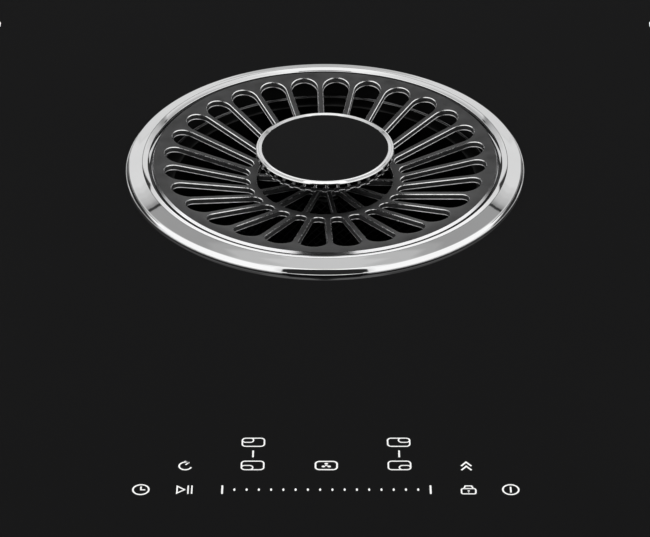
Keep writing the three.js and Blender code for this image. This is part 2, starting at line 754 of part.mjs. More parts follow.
// ---------------------------------------------------------------- intake well and grease filter
function makeWell() {
  const top = TRIM_LEDGE_Z - TRIM_LEDGE_T - RUN_GAP;
  const bottom = LID_Z - TOP_Z - WELL_T;
  const profile = [
    [WELL_TOP_R, top],
    [WELL_TOP_R - WELL_T, top],
    [WELL_TOP_R - WELL_T, WELL_LEDGE_Z],
    [WELL_TUBE_R - WELL_T, WELL_LEDGE_Z],
    [WELL_TUBE_R - WELL_T, bottom],
    [WELL_TUBE_R, bottom],
    [WELL_TUBE_R, WELL_LEDGE_Z - WELL_T],
    [WELL_TOP_R, WELL_LEDGE_Z - WELL_T],
    [WELL_TOP_R, top],
  ];
  place('intake_well', revolved(profile, MEDIUM), BLACK_PLASTIC, vent);
}

function makeFilter() {
  const rimBottom = WELL_LEDGE_Z + SEAT_GAP;
  const rimTop = rimBottom + FILTER_RIM_T;
  const bottom = rimTop - FILTER_DEPTH;
  const inner = FILTER_R - FILTER_WALL;
  const basket = revolved(
    [
      [FILTER_RIM_R, rimTop],
      [inner, rimTop],
      [inner, bottom + FILTER_WALL],
      [0, bottom + FILTER_WALL],
      [0, bottom],
      [FILTER_R, bottom],
      [FILTER_R, rimBottom],
      [FILTER_RIM_R, rimBottom],
      [FILTER_RIM_R, rimTop],
    ],
    MEDIUM,
  );
  const pitch = 360 / FILTER_WINDOWS;
  const windowW = (2 * Math.PI * FILTER_R) / FILTER_WINDOWS - FILTER_BAR_W;
  const sill = bottom + FILTER_BAR_W;
  const side = block(
    inner - WINDOW_RUN,
    FILTER_R + WINDOW_RUN,
    -windowW / 2,
    windowW / 2,
    sill,
    sill + FILTER_WINDOW_H,
  );
  const cutters = Array.from({ length: FILTER_WINDOWS }, (_, i) => turned(side, i * pitch));
  place('filter_basket', cut(basket, cutters), STAINLESS, vent);
  const meshR = inner - SEAT_GAP;
  const meshZ = bottom + FILTER_WALL + SEAT_GAP;
  const mesh = ring(meshR, meshR - MESH_T, meshZ, meshZ + MESH_H, COARSE);
  place('filter_mesh', mesh, ALUMINIUM, vent);
}

// ---------------------------------------------------------------- coils and their carriers
const COIL_TOP = GLASS_Z - SEAT_GAP - MICA_T - SEAT_GAP;
const COIL_Z = COIL_TOP - COIL_T;
const CARRIER_Z = COIL_Z - SEAT_GAP - CARRIER_T;
const ZONE_MID_Y = COIL_REAR_Y - COIL_PITCH / 2;
const ZONE_W = COIL_W + 2 * CARRIER_MARGIN;
const ZONE_D = COIL_D + COIL_PITCH + 2 * CARRIER_MARGIN;

function makeCoils() {
  for (const [side, word] of [[-1, 'left'], [1, 'right']]) {
    const x = side * COIL_X;
    for (const [row, end] of [[0, 'rear'], [1, 'front']]) {
      const y = COIL_REAR_Y - row * COIL_PITCH;
      const outline = ellipse(COIL_W, COIL_D, x, y);
      outline.holes.push(circle(COIL_EYE_R, x, y));
      place(`coil_${end}_${word}`, slab(outline, COIL_Z, COIL_TOP, OVAL_STEPS), COPPER);
    }
    const sheet = roundedRect(ZONE_W, ZONE_D, CARRIER_MARGIN, x, ZONE_MID_Y);
    const plate = slab(sheet, CARRIER_Z, CARRIER_Z + CARRIER_T);
    const legX = ZONE_W / 2 - CARRIER_T;
    const legY = ZONE_D / 2 - 2 * CARRIER_MARGIN;
    const legs = [[-1, -1], [1, -1], [-1, 1], [1, 1]].map(([sx, sy]) =>
      block(
        x + sx * legX - CARRIER_T / 2,
        x + sx * legX + CARRIER_T / 2,
        ZONE_MID_Y + sy * legY - CARRIER_LEG_W / 2,
        ZONE_MID_Y + sy * legY + CARRIER_LEG_W / 2,
        CASE_FLOOR + SEAT_GAP,
        CARRIER_Z + CARRIER_T / 2,
      ),
    );
    const eyes = [0, 1].map((row) =>
      rod(
        COIL_EYE_R / 2,
        CARRIER_Z - PAST,
        CARRIER_Z + CARRIER_T + PAST,
        ROUND,
        x,
        COIL_REAR_Y - row * COIL_PITCH,
      ),
    );
    place(`coil_carrier_${word}`, cut(joined([plate, ...legs]), eyes), ALUMINIUM);
    const mica = slab(sheet, COIL_TOP + SEAT_GAP, COIL_TOP + SEAT_GAP + MICA_T);
    place(`mica_sheet_${word}`, mica, MICA);
  }
}

// ---------------------------------------------------------------- power electronics
function finnedShape(x, z) {
  const shape = new THREE.Shape();
  const left = x - SINK_W / 2;
  const pitch = (SINK_W - SINK_FIN_T) / (SINK_FINS - 1);
  shape.moveTo(left, z);
  shape.lineTo(left + SINK_W, z);
  for (let i = SINK_FINS - 1; i >= 0; i -= 1) {
    const start = left + i * pitch;
    shape.lineTo(start + SINK_FIN_T, z + (i === SINK_FINS - 1 ? SINK_H : SINK_BASE));
    shape.lineTo(start + SINK_FIN_T, z + SINK_H);
    shape.lineTo(start, z + SINK_H);
    shape.lineTo(start, z + (i === 0 ? SINK_H : SINK_BASE));
  }
  shape.closePath();
  return shape;
}

function heatSink(x, z) {
  const settings = { depth: SINK_D, bevelEnabled: false };
  const geometry = new THREE.ExtrudeGeometry(finnedShape(x, z), settings);
  geometry.rotateX(Math.PI / 2);
  geometry.translate(0, BOARD_Y + SINK_D / 2, 0);
  return solid(geometry);
}

function coolingFan(x, word) {
  const z = CASE_FLOOR + SEAT_GAP;
  const outline = roundedRect(BLOWER_SIDE, BLOWER_SIDE, BLOWER_CORNER_R, x, BLOWER_Y);
  const airway = rod(BLOWER_BORE_R, z - PAST, z + BLOWER_H + PAST, COARSE, x, BLOWER_Y);
  const wall = slab(outline, z, z + BLOWER_H).subtract(airway);
  const reach = BLOWER_BORE_R + ROOT;
  const half = BLOWER_STRUT_W / 2;
  const floorTop = z + BLOWER_FLOOR_T;
  const struts = [
    block(x - reach, x + reach, BLOWER_Y - half, BLOWER_Y + half, z, floorTop),
    block(x - half, x + half, BLOWER_Y - reach, BLOWER_Y + reach, z, floorTop),
    rod(ROTOR_HUB_R, z, floorTop, ROUND, x, BLOWER_Y),
    rod(BLOWER_PIN_R, z, floorTop + ROTOR_H, SMALL, x, BLOWER_Y),
  ];
  place(`cooling_fan_frame_${word}`, joined([wall, ...struts]), BLACK_PLASTIC);

  const rotorZ = floorTop + SEAT_GAP;
  const hub = rod(ROTOR_HUB_R, rotorZ, rotorZ + ROTOR_H, 2 * ROTOR_BLADES);
  const sweep = new THREE.Shape();
  const end = ROTOR_BLADE_CHORD / 2;
  sweep.moveTo(-end, 0);
  sweep.quadraticCurveTo(0, 2 * ROTOR_BLADE_BOW, end, 0);
  sweep.lineTo(end, ROTOR_BLADE_T);
  sweep.quadraticCurveTo(0, 2 * ROTOR_BLADE_BOW + ROTOR_BLADE_T, -end, ROTOR_BLADE_T);
  sweep.closePath();
  const bladeGeometry = new THREE.ExtrudeGeometry(sweep, {
    depth: ROTOR_R - ROTOR_HUB_R + 4 * ROOT,
    bevelEnabled: false,
    curveSegments: CORNER_STEPS,
  });
  bladeGeometry.translate(0, -ROTOR_BLADE_T / 2 - ROTOR_BLADE_BOW, ROTOR_HUB_R - 3 * ROOT);
  bladeGeometry.rotateZ(radians(ROTOR_PITCH));
  bladeGeometry.rotateY(Math.PI / 2);
  bladeGeometry.rotateX(Math.PI / 2);
  bladeGeometry.translate(0, 0, rotorZ + ROTOR_H / 2);
  const blade = solid(bladeGeometry);
  const blades = Array.from({ length: ROTOR_BLADES }, (_, i) =>
    turned(blade, (i * 360) / ROTOR_BLADES),
  );
  const swept = joined([hub, ...blades]).intersect(rod(ROTOR_R, rotorZ, rotorZ + ROTOR_H, COARSE));
  const bore = rod(BLOWER_PIN_R + RUN_GAP, rotorZ - PAST, rotorZ + ROTOR_H + PAST, SMALL);
  const rotor = swept.subtract(bore).translate([x, BLOWER_Y, 0]);
  place(`cooling_fan_rotor_${word}`, rotor, GREY_PLASTIC);
}

function makeElectronics() {
  for (const [side, word] of [[-1, 'left'], [1, 'right']]) {
    const boardZ = CASE_FLOOR + POST_H + SEAT_GAP;
    const x = side * BOARD_X;
    const board = block(
      x - BOARD_W / 2,
      x + BOARD_W / 2,
      BOARD_Y - BOARD_D / 2,
      BOARD_Y + BOARD_D / 2,
      boardZ,
      boardZ + BOARD_T,
    );
    place(`power_board_${word}`, board, BOARD_GREEN);
    place(`heat_sink_${word}`, heatSink(x, boardZ + BOARD_T + SEAT_GAP), ALUMINIUM);
    coolingFan(side * BLOWER_X, word);
  }
}

// ---------------------------------------------------------------- touch controls
function makeTouchControls() {
  const top = GLASS_Z - SEAT_GAP;
  const front = FRAME_BAR + TOUCH_GAP - FRAME_D / 2;
  const middle = front + TOUCH_BOARD_D / 2;
  const sheet = roundedRect(TOUCH_BOARD_W, TOUCH_BOARD_D, TOUCH_CORNER_R, 0, middle);
  place('touch_board', slab(sheet, top - BOARD_T, top), BOARD_GREEN);
  const trayTop = top - BOARD_T - SEAT_GAP;
  const tray = slab(sheet, trayTop - TOUCH_TRAY_T, trayTop);
  const legX = TOUCH_BOARD_W / 2 - TOUCH_LEG_W / 2;
  const legs = [-1, 1].map((side) =>
    block(
      side * legX - TOUCH_LEG_W / 2,
      side * legX + TOUCH_LEG_W / 2,
      middle - TOUCH_TRAY_T,
      middle + TOUCH_TRAY_T,
      CASE_FLOOR + SEAT_GAP,
      trayTop - TOUCH_TRAY_T / 2,
    ),
  );
  place('touch_board_bracket', joined([tray, ...legs]), GREY_PLASTIC);
}

// ---------------------------------------------------------------- mains connection
function makeTerminals() {
  const top = CASE_Z - SEAT_GAP;
  const bottom = top - TERMINAL_H;
  const outline = roundedRect(
    TERMINAL_W,
    TERMINAL_D,
    TERMINAL_CORNER_R,
    TERMINAL_X,
    TERMINAL_Y,
  );
  const hollow = roundedRect(
    TERMINAL_W - 2 * TERMINAL_WALL,
    TERMINAL_D - 2 * TERMINAL_WALL,
    TERMINAL_CORNER_R - TERMINAL_WALL,
    TERMINAL_X,
    TERMINAL_Y,
  );
  const wallX = TERMINAL_X - TERMINAL_W / 2;
  const glandZ = bottom + TERMINAL_H / 2;
  const glandHole = rodAcross(
    GLAND_R + RUN_GAP,
    wallX - PAST,
    wallX + TERMINAL_WALL + PAST,
    TERMINAL_Y,
    glandZ,
    COARSE,
  );
  const shell = cut(slab(outline, bottom, top), [
    slab(hollow, bottom - PAST, top - TERMINAL_WALL),
    glandHole,
  ]);
  place('terminal_box', shell, BLACK_PLASTIC);

  const cover = slab(outline, bottom - SEAT_GAP - TERMINAL_WALL, bottom - SEAT_GAP);
  place('terminal_cover', cover, BLACK_PLASTIC);

  const blockW = TERMINAL_WAYS * TERMINAL_WAY_W;
  const blockTop = top - TERMINAL_WALL - SEAT_GAP;
  const blockX = TERMINAL_X + STRIP_SHIFT;
  const blockBottom = blockTop - STRIP_H;
  const body = block(
    blockX - blockW / 2,
    blockX + blockW / 2,
    TERMINAL_Y - STRIP_D / 2,
    TERMINAL_Y + STRIP_D / 2,
    blockBottom,
    blockTop,
  );
  const first = blockX - (blockW - TERMINAL_WAY_W) / 2;
  const wells = Array.from({ length: TERMINAL_WAYS }, (_, i) => {
    const x = first + i * TERMINAL_WAY_W;
    return rod(STRIP_WELL_R, blockBottom - PAST, blockBottom + STRIP_WELL_DEPTH, HEX, x, TERMINAL_Y);
  });
  place('terminal_block', cut(body, wells), GREY_PLASTIC);

  const inner = wallX + TERMINAL_WALL + GLAND_IN;
  const nutX = wallX - SEAT_GAP;
  const outer = nutX - GLAND_OUT;
  const gland = joined([
    rodAcross(GLAND_R, outer, inner, TERMINAL_Y, glandZ, COARSE),
    rodAcross(GLAND_NUT_R, nutX - GLAND_NUT_T, nutX, TERMINAL_Y, glandZ, HEX),
  ]);
  const bore = rodAcross(GLAND_BORE_R, outer - PAST, inner + PAST, TERMINAL_Y, glandZ, SMALL);
  place('cable_gland', gland.subtract(bore), BLACK_PLASTIC);
}

// ---------------------------------------------------------------- worktop clamps
function makeClamps() {
  const top = CASE_Z + CASE_H - SEAT_GAP;
  const footZ = top - CLAMP_H;
  for (const [side, word] of [[-1, 'left'], [1, 'right']]) {
    for (const [row, end] of [[-1, 'front'], [1, 'rear']]) {
      const y = row * CLAMP_Y;
      const wallX = CASE_W / 2 + SEAT_GAP;
      const angle = new THREE.Shape();
      angle.moveTo(wallX, top);
      angle.lineTo(wallX, footZ);
      angle.lineTo(wallX + CLAMP_REACH, footZ);
      angle.lineTo(wallX + CLAMP_REACH, footZ + CLAMP_SHEET);
      angle.lineTo(wallX + CLAMP_SHEET, footZ + CLAMP_SHEET);
      angle.lineTo(wallX + CLAMP_SHEET, top);
      angle.closePath();
      const settings = { depth: CLAMP_W, bevelEnabled: false };
      const geometry = new THREE.ExtrudeGeometry(angle, settings);
      geometry.rotateX(Math.PI / 2);
      geometry.translate(0, y + CLAMP_W / 2, 0);
      if (side < 0) geometry.rotateZ(Math.PI).translate(0, 2 * y, 0);
      const screwX = side * (wallX + CLAMP_REACH - CLAMP_PAD_R);
      const hole = rod(
        CLAMP_SCREW_R + RUN_GAP,
        footZ - PAST,
        footZ + CLAMP_SHEET + PAST,
        SMALL,
        screwX,
        y,
      );
      place(`clamp_bracket_${end}_${word}`, solid(geometry).subtract(hole), STAINLESS);
      const padTop = footZ + CLAMP_SCREW_UP;
      const screw = joined([
        rod(CLAMP_SCREW_R, footZ - CLAMP_SCREW_DOWN, padTop, SMALL, screwX, y),
        rod(CLAMP_PAD_R, padTop - CLAMP_PAD_T, padTop, ROUND, screwX, y),
      ]);
      place(`clamp_screw_${end}_${word}`, screw, STAINLESS);
    }
  }
}

// ---------------------------------------------------------------- blower box
const BOX_X0 = -TRAY_W / 2 - BOX_TRAY_ROOM;
const BOX_X1 = FAN_X + SCROLL_R1 + SCROLL_WALL + BOX_SCROLL_ROOM;
const BOX_W = BOX_X1 - BOX_X0;
const BOX_MID_X = (BOX_X0 + BOX_X1) / 2;
const BOX_MID_Y = (BOX_Y0 + BOX_Y1) / 2;
const DUCT_MID_Z = DUCT_Z + DUCT_H / 2;
const TRAY_OPENING_W = TRAY_W + 2 * TRAY_SIDE_GAP;
const TRAY_OPENING_H = TRAY_H + SEAT_GAP + TRAY_SIDE_GAP;

// A flat rounded outline in X and Z, pulled from y0 back to y1.
function pulled(shape, y0, y1) {
  const settings = { depth: y1 - y0, bevelEnabled: false, curveSegments: CORNER_STEPS };
  const geometry = new THREE.ExtrudeGeometry(shape, settings);
  geometry.rotateX(Math.PI / 2);
  geometry.translate(0, y1, 0);
  return solid(geometry);
}

function makeBox() {
  const outline = roundedRect(BOX_W, BOX_D, BOX_CORNER_R, BOX_MID_X, BOX_MID_Y);
  const outer = slab(outline, 0, BOX_H);
  const inside = roundedRect(
    BOX_W - 2 * BOX_SHEET,
    BOX_D - 2 * BOX_SHEET,
    BOX_CORNER_R - BOX_SHEET,
    BOX_MID_X,
    BOX_MID_Y,
  );
  const ductHole = pulled(
    roundedRect(
      DUCT_W - 2 * DUCT_WALL,
      DUCT_H - 2 * DUCT_WALL,
      DUCT_CORNER_R - DUCT_WALL,
      DUCT_X,
      DUCT_MID_Z,
    ),
    BOX_Y1 - BOX_SHEET - PAST,
    BOX_Y1 + PAST,
  );
  const trayHole = block(
    -TRAY_OPENING_W / 2,
    TRAY_OPENING_W / 2,
    BOX_Y0 - PAST,
    BOX_Y0 + BOX_SHEET + PAST,
    BOX_SHEET,
    BOX_SHEET + TRAY_OPENING_H,
  );
  const cavity = slab(inside, BOX_SHEET, BOX_H + PAST);
  place('fan_box', cut(outer, [cavity, ductHole, trayHole]), BLACK_PLASTIC);

  const lidTop = LID_Z + LID_T;
  const holeR = WELL_TUBE_R + RUN_GAP;
  const wellHole = rod(holeR, LID_Z - PAST, lidTop + PAST, FINE, 0, VENT_Y);
  place('fan_box_lid', slab(outline, LID_Z, lidTop).subtract(wellHole), BLACK_PLASTIC);
}

// ---------------------------------------------------------------- blower
// The scroll's radius grows evenly from its tongue, round the left and the front, to the right.
function scrollShape(inset) {
  const shape = new THREE.Shape();
  const start = radians(SCROLL_TONGUE);
  const sweep = 2 * Math.PI - start;
  const back = BOX_Y1 - BOX_SHEET - SEAT_GAP;
  const halfDuct = DUCT_W / 2 - DUCT_WALL + SCROLL_WALL - inset;
  const end = back + (inset > 0 ? PAST : 0);
  shape.moveTo(DUCT_X - halfDuct, end);
  for (let i = 0; i <= SCROLL_STEPS; i += 1) {
    const share = i / SCROLL_STEPS;
    const angle = start + share * sweep;
    const r = SCROLL_R0 + (SCROLL_R1 - SCROLL_R0) * share + SCROLL_WALL - inset;
    shape.lineTo(FAN_X + r * Math.cos(angle), FAN_Y + r * Math.sin(angle));
  }
  shape.lineTo(DUCT_X + halfDuct, end);
  shape.closePath();
  return shape;
}

const SCROLL_Z = BOX_SHEET + SEAT_GAP;
const SCROLL_FLOOR = SCROLL_Z + SCROLL_WALL;
const SCROLL_TOP = SCROLL_Z + SCROLL_H;
const MOTOR_TOP = SCROLL_FLOOR + SEAT_GAP + MOTOR_FLANGE_T + MOTOR_H;
const WHEEL_Z = MOTOR_TOP + WHEEL_LIFT;

function makeVolute() {
  const shell = slab(scrollShape(0), SCROLL_Z, SCROLL_TOP);
  const air = slab(scrollShape(SCROLL_WALL), SCROLL_FLOOR, SCROLL_TOP - SCROLL_WALL);
  const inletZ = SCROLL_TOP - SCROLL_WALL - PAST;
  const inlet = rod(INLET_R, inletZ, SCROLL_TOP + PAST, COARSE, FAN_X, FAN_Y);
  place('volute', cut(shell, [air, inlet]), GREY_PLASTIC);

  const seat = SCROLL_TOP + SEAT_GAP;
  const reach = SCROLL_TOP - INLET_REACH;
  const mouth = revolved(
    [
      [INLET_FLANGE_R, seat],
      [INLET_FLANGE_R, seat + INLET_T],
      [INLET_THROAT_R, seat + INLET_T],
      [INLET_THROAT_R - INLET_T, reach],
      [INLET_THROAT_R, reach],
      [INLET_THROAT_R + INLET_T, seat],
      [INLET_FLANGE_R, seat],
    ],
    COARSE,
    FAN_X,
    FAN_Y,
  );
  place('inlet_ring', mouth, BLACK_PLASTIC);
}

function bladeShape() {
  const shape = new THREE.Shape();
  const middle = (WHEEL_R + WHEEL_INNER_R) / 2;
  const tip = WHEEL_R - WHEEL_BLADE_T;
  shape.moveTo(WHEEL_INNER_R, 0);
  shape.quadraticCurveTo(middle, -WHEEL_BLADE_BOW, tip, WHEEL_BLADE_LEAN);
  shape.lineTo(tip - WHEEL_BLADE_T, WHEEL_BLADE_LEAN + WHEEL_BLADE_T);
  shape.quadraticCurveTo(middle, WHEEL_BLADE_T - WHEEL_BLADE_BOW, WHEEL_INNER_R, WHEEL_BLADE_T);
  shape.closePath();
  return shape;
}

function makeBlower() {
  const motorZ = SCROLL_FLOOR + SEAT_GAP;
  const hubTop = WHEEL_Z + WHEEL_HUB_H;
  const motor = joined([
    rod(MOTOR_FLANGE_R, motorZ, motorZ + MOTOR_FLANGE_T, COARSE, FAN_X, FAN_Y),
    rod(MOTOR_R, motorZ + MOTOR_FLANGE_T / 2, MOTOR_TOP, COARSE, FAN_X, FAN_Y),
    rod(SHAFT_R, MOTOR_TOP - ROOT, hubTop + SHAFT_END, SMALL, FAN_X, FAN_Y),
  ]);
  place('fan_motor', motor, STAINLESS);

  const plateTop = WHEEL_Z + WHEEL_PLATE_T;
  const wheelTop = WHEEL_Z + WHEEL_H;
  const bladeZ = WHEEL_Z + WHEEL_PLATE_T / 2;
  const blade = slab(bladeShape(), bladeZ, wheelTop - WHEEL_RING_H / 2);
  const blades = Array.from({ length: WHEEL_BLADES }, (_, i) =>
    blade.rotate([0, 0, (i * 360) / WHEEL_BLADES]),
  );
  const wheel = joined([
    rod(WHEEL_R, WHEEL_Z, plateTop, MEDIUM),
    ring(WHEEL_R, WHEEL_R - WHEEL_RING_W, wheelTop - WHEEL_RING_H, wheelTop, MEDIUM),
    rod(WHEEL_HUB_R, WHEEL_Z + WHEEL_PLATE_T / 2, hubTop, COARSE),
    ...blades,
  ]);
  const bore = rod(SHAFT_R + RUN_GAP, WHEEL_Z - PAST, hubTop + PAST, SMALL);
  place('impeller', wheel.subtract(bore).translate([FAN_X, FAN_Y, 0]), GREY_PLASTIC);
}

// ---------------------------------------------------------------- outlet and flap
function makeOutlet() {
  const flangeY = BOX_Y1 + SEAT_GAP;
  const sleeve = roundedRect(DUCT_W, DUCT_H, DUCT_CORNER_R, DUCT_X, DUCT_MID_Z);
  const flangeW = DUCT_W + 2 * SPIGOT_FLANGE;
  const flange = roundedRect(flangeW, DUCT_H + SPIGOT_FLANGE, DUCT_CORNER_R, DUCT_X, DUCT_MID_Z);
  const bore = roundedRect(
    DUCT_W - 2 * DUCT_WALL,
    DUCT_H - 2 * DUCT_WALL,
    DUCT_CORNER_R - DUCT_WALL,
    DUCT_X,
    DUCT_MID_Z,
  );
  const axisY = flangeY + FLAP_AXIS_OUT;
  const axisZ = DUCT_Z + DUCT_H - DUCT_WALL - FLAP_BARREL_R - SEAT_GAP;
  const left = DUCT_X - DUCT_W / 2;
  const right = DUCT_X + DUCT_W / 2;
  const pinBore = FLAP_PIN_R + RUN_GAP;
  const pinHole = rodAcross(pinBore, left - PAST, right + PAST, axisY, axisZ, SMALL);
  const body = joined([
    pulled(flange, flangeY, flangeY + DUCT_WALL),
    pulled(sleeve, flangeY + DUCT_WALL / 2, flangeY + SPIGOT_OUT),
  ]);
  const airway = pulled(bore, flangeY - PAST, flangeY + SPIGOT_OUT + PAST);
  place('outlet_spigot', cut(body, [airway, pinHole]), BLACK_PLASTIC);

  const plateX0 = left + DUCT_WALL + FLAP_SIDE_GAP;
  const plateX1 = right - DUCT_WALL - FLAP_SIDE_GAP;
  const plateBottom = DUCT_Z + DUCT_WALL + FLAP_SIDE_GAP;
  const flap = joined([
    block(
      plateX0 + DUCT_CORNER_R,
      plateX1 - DUCT_CORNER_R,
      axisY - FLAP_T / 2,
      axisY + FLAP_T / 2,
      plateBottom,
      axisZ,
    ),
    block(
      plateX0,
      plateX1,
      axisY - FLAP_T / 2,
      axisY + FLAP_T / 2,
      plateBottom + DUCT_CORNER_R,
      axisZ - DUCT_CORNER_R,
    ),
    rodAcross(
      FLAP_BARREL_R,
      plateX0 + DUCT_CORNER_R,
      plateX1 - DUCT_CORNER_R,
      axisY,
      axisZ,
      SMALL,
    ),
    rodAcross(FLAP_PIN_R, left + SEAT_GAP, right - SEAT_GAP, axisY, axisZ, SMALL),
  ]);
  place('backdraught_flap', flap, GREY_PLASTIC);
}

// ---------------------------------------------------------------- drip tray
function makeTray() {
  const z = BOX_SHEET + SEAT_GAP;
  const frontY = BOX_Y0 + BOX_SHEET;
  const middle = frontY + TRAY_D / 2;
  const outline = roundedRect(TRAY_W, TRAY_D, TRAY_CORNER_R, 0, middle);
  const hollow = roundedRect(
    TRAY_W - 2 * TRAY_WALL,
    TRAY_D - 2 * TRAY_WALL,
    TRAY_CORNER_R - TRAY_WALL,
    0,
    middle,
  );
  const plateY = BOX_Y0 - SEAT_GAP;
  const plateW = TRAY_OPENING_W + 2 * TRAY_FRONT_MARGIN;
  const plateTop = BOX_SHEET + TRAY_OPENING_H + TRAY_FRONT_MARGIN;
  const neck = block(
    -TRAY_W / 2 + TRAY_CORNER_R,
    TRAY_W / 2 - TRAY_CORNER_R,
    plateY - TRAY_FRONT_T / 2,
    frontY + TRAY_CORNER_R,
    z,
    z + TRAY_H,
  );
  const plate = block(-plateW / 2, plateW / 2, plateY - TRAY_FRONT_T, plateY, z, plateTop);
  const grip = block(
    -TRAY_GRIP_W / 2,
    TRAY_GRIP_W / 2,
    plateY - TRAY_FRONT_T - TRAY_GRIP_OUT,
    plateY - TRAY_FRONT_T / 2,
    plateTop - 2 * TRAY_FRONT_T,
    plateTop - TRAY_FRONT_T,
  );
  const body = joined([slab(outline, z, z + TRAY_H), neck]);
  const tray = body.subtract(slab(hollow, z + TRAY_WALL, z + TRAY_H + PAST));
  place('drip_tray', joined([tray, plate, grip]), BLACK_PLASTIC);
}

makeGlass();
makeFrameAndSeal();
makeCase();
makeTrim();
makeGrille();
makeCover();
makeWell();
makeFilter();
makeCoils();
makeElectronics();
makeTouchControls();
makeTerminals();
makeClamps();
makeBox();
makeVolute();
makeBlower();
makeOutlet();
makeTray();

export default cooktop;
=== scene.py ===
import math

import bmesh
import bpy
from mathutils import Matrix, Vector
from mathutils.geometry import delaunay_2d_cdt


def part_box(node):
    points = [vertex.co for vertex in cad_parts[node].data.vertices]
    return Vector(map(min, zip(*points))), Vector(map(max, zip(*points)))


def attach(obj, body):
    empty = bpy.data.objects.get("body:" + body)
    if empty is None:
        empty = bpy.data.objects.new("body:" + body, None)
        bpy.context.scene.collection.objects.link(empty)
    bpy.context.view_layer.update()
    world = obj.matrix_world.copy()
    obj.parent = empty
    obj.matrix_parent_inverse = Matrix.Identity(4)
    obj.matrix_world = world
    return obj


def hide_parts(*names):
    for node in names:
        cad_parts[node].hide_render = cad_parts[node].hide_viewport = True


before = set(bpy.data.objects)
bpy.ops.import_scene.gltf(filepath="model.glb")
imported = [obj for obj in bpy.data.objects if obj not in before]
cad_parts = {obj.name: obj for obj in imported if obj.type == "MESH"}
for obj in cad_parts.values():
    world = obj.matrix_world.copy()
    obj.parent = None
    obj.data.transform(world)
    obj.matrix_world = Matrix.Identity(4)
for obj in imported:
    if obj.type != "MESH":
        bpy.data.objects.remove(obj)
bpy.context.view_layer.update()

# ---- blower box and its lid
# A black box moulded in glass-filled polypropylene, closed by a flat lid of the same plastic.
# Stiffening ribs run down its outside, and its skin has the fine grain of a spark-eroded mould.
scene = bpy.context.scene
MM = 0.001
MERGE = 0.001 * MM
SHARP_OVER, FLAT_UNDER, BREAK_OVER, BREAK_CUTS = 35, 0.5, 50, 2


def shader(name, colour, roughness, metallic=0.0):
    """A new material with its node tree and its surface shader."""
    look = bpy.data.materials.new(name)
    look.use_nodes = True
    surface = look.node_tree.nodes["Principled BSDF"]
    surface.inputs["Base Color"].default_value = (*colour, 1)
    surface.inputs["Roughness"].default_value = roughness
    surface.inputs["Metallic"].default_value = metallic
    return look, look.node_tree, surface


def grain(tree, size, stretch=(1, 1, 1), detail=3):
    """Noise that stays on the object, with grains about size millimetres wide."""
    place = tree.nodes.new("ShaderNodeTexCoord")
    scale = tree.nodes.new("ShaderNodeMapping")
    scale.inputs["Scale"].default_value = stretch
    noise = tree.nodes.new("ShaderNodeTexNoise")
    noise.inputs["Scale"].default_value = 1 / (size * MM)
    noise.inputs["Detail"].default_value = detail
    tree.links.new(place.outputs["Object"], scale.inputs["Vector"])
    tree.links.new(scale.outputs["Vector"], noise.inputs["Vector"])
    return noise.outputs["Fac"]


def spread(tree, value, low, high, start=0.3, end=0.7):
    """Turns a value between start and end into one between low and high."""
    node = tree.nodes.new("ShaderNodeMapRange")
    node.inputs["From Min"].default_value = start
    node.inputs["From Max"].default_value = end
    node.inputs["To Min"].default_value = low
    node.inputs["To Max"].default_value = high
    tree.links.new(value, node.inputs["Value"])
    return node.outputs["Result"]


def tint(tree, value, colour, shade, start=0.3, end=0.7):
    """A colour that wanders by shade either way as the value goes from start to end."""
    ramp = tree.nodes.new("ShaderNodeValToRGB")
    dark, light = ramp.color_ramp.elements
    dark.position, light.position = start, end
    dark.color = (*[c * (1 - shade) for c in colour], 1)
    light.color = (*[c * (1 + shade) for c in colour], 1)
    tree.links.new(value, ramp.inputs["Fac"])
    return ramp.outputs["Color"]


def relief(tree, surface, value, depth, strength=1.0):
    """Bumps depth millimetres high on the surface."""
    bump = tree.nodes.new("ShaderNodeBump")
    bump.inputs["Distance"].default_value = depth * MM
    bump.inputs["Strength"].default_value = strength
    tree.links.new(value, bump.inputs["Height"])
    tree.links.new(bump.outputs["Normal"], surface.inputs["Normal"])


def grained(
    name, colour, rough, size, depth, shade=0.1, metallic=0.0, stretch=(1, 1, 1), cloud=25
):
    """A material with fine grain in its relief, and slow clouds in its colour and roughness."""
    look, tree, surface = shader(name, colour, rough[0], metallic)
    fine = grain(tree, size, stretch)
    slow = grain(tree, cloud, stretch, 5)
    tree.links.new(tint(tree, slow, colour, shade), surface.inputs["Base Color"])
    tree.links.new(spread(tree, slow, rough[0], rough[1]), surface.inputs["Roughness"])
    relief(tree, surface, fine, depth)
    return look


def loft(loops, closed=False):
    """A body through equally long loops of points. A closed one joins its last to its first."""
    count = len(loops[0])
    points = [p for loop in loops for p in loop]
    faces = []
    for i in range(len(loops) if closed else len(loops) - 1):
        a, b = i * count, (i + 1) % len(loops) * count
        faces += [(a + j, a + (j + 1) % count, b + (j + 1) % count, b + j) for j in range(count)]
    if not closed:
        last = (len(loops) - 1) * count
        faces.append(tuple(reversed(range(count))))
        faces.append(tuple(range(last, last + count)))
    return points, faces


def together(shapes):
    """Several bodies as one."""
    points, faces = [], []
    for more_points, more_faces in shapes:
        start = len(points)
        points += more_points
        faces += [tuple(start + i for i in face) for face in more_faces]
    return points, faces


def circle(r, z, steps=128, x=0.0, y=0.0):
    turns = [2 * math.pi * i / steps for i in range(steps)]
    return [(x + r * math.cos(a), y + r * math.sin(a), z) for a in turns]


def turned(profile, steps=128, x=0.0, y=0.0):
    """A ring: the closed profile of (radius, height) pairs goes round the upright line at x, y."""
    return loft([circle(r, z, steps, x, y) for r, z in profile], closed=True)


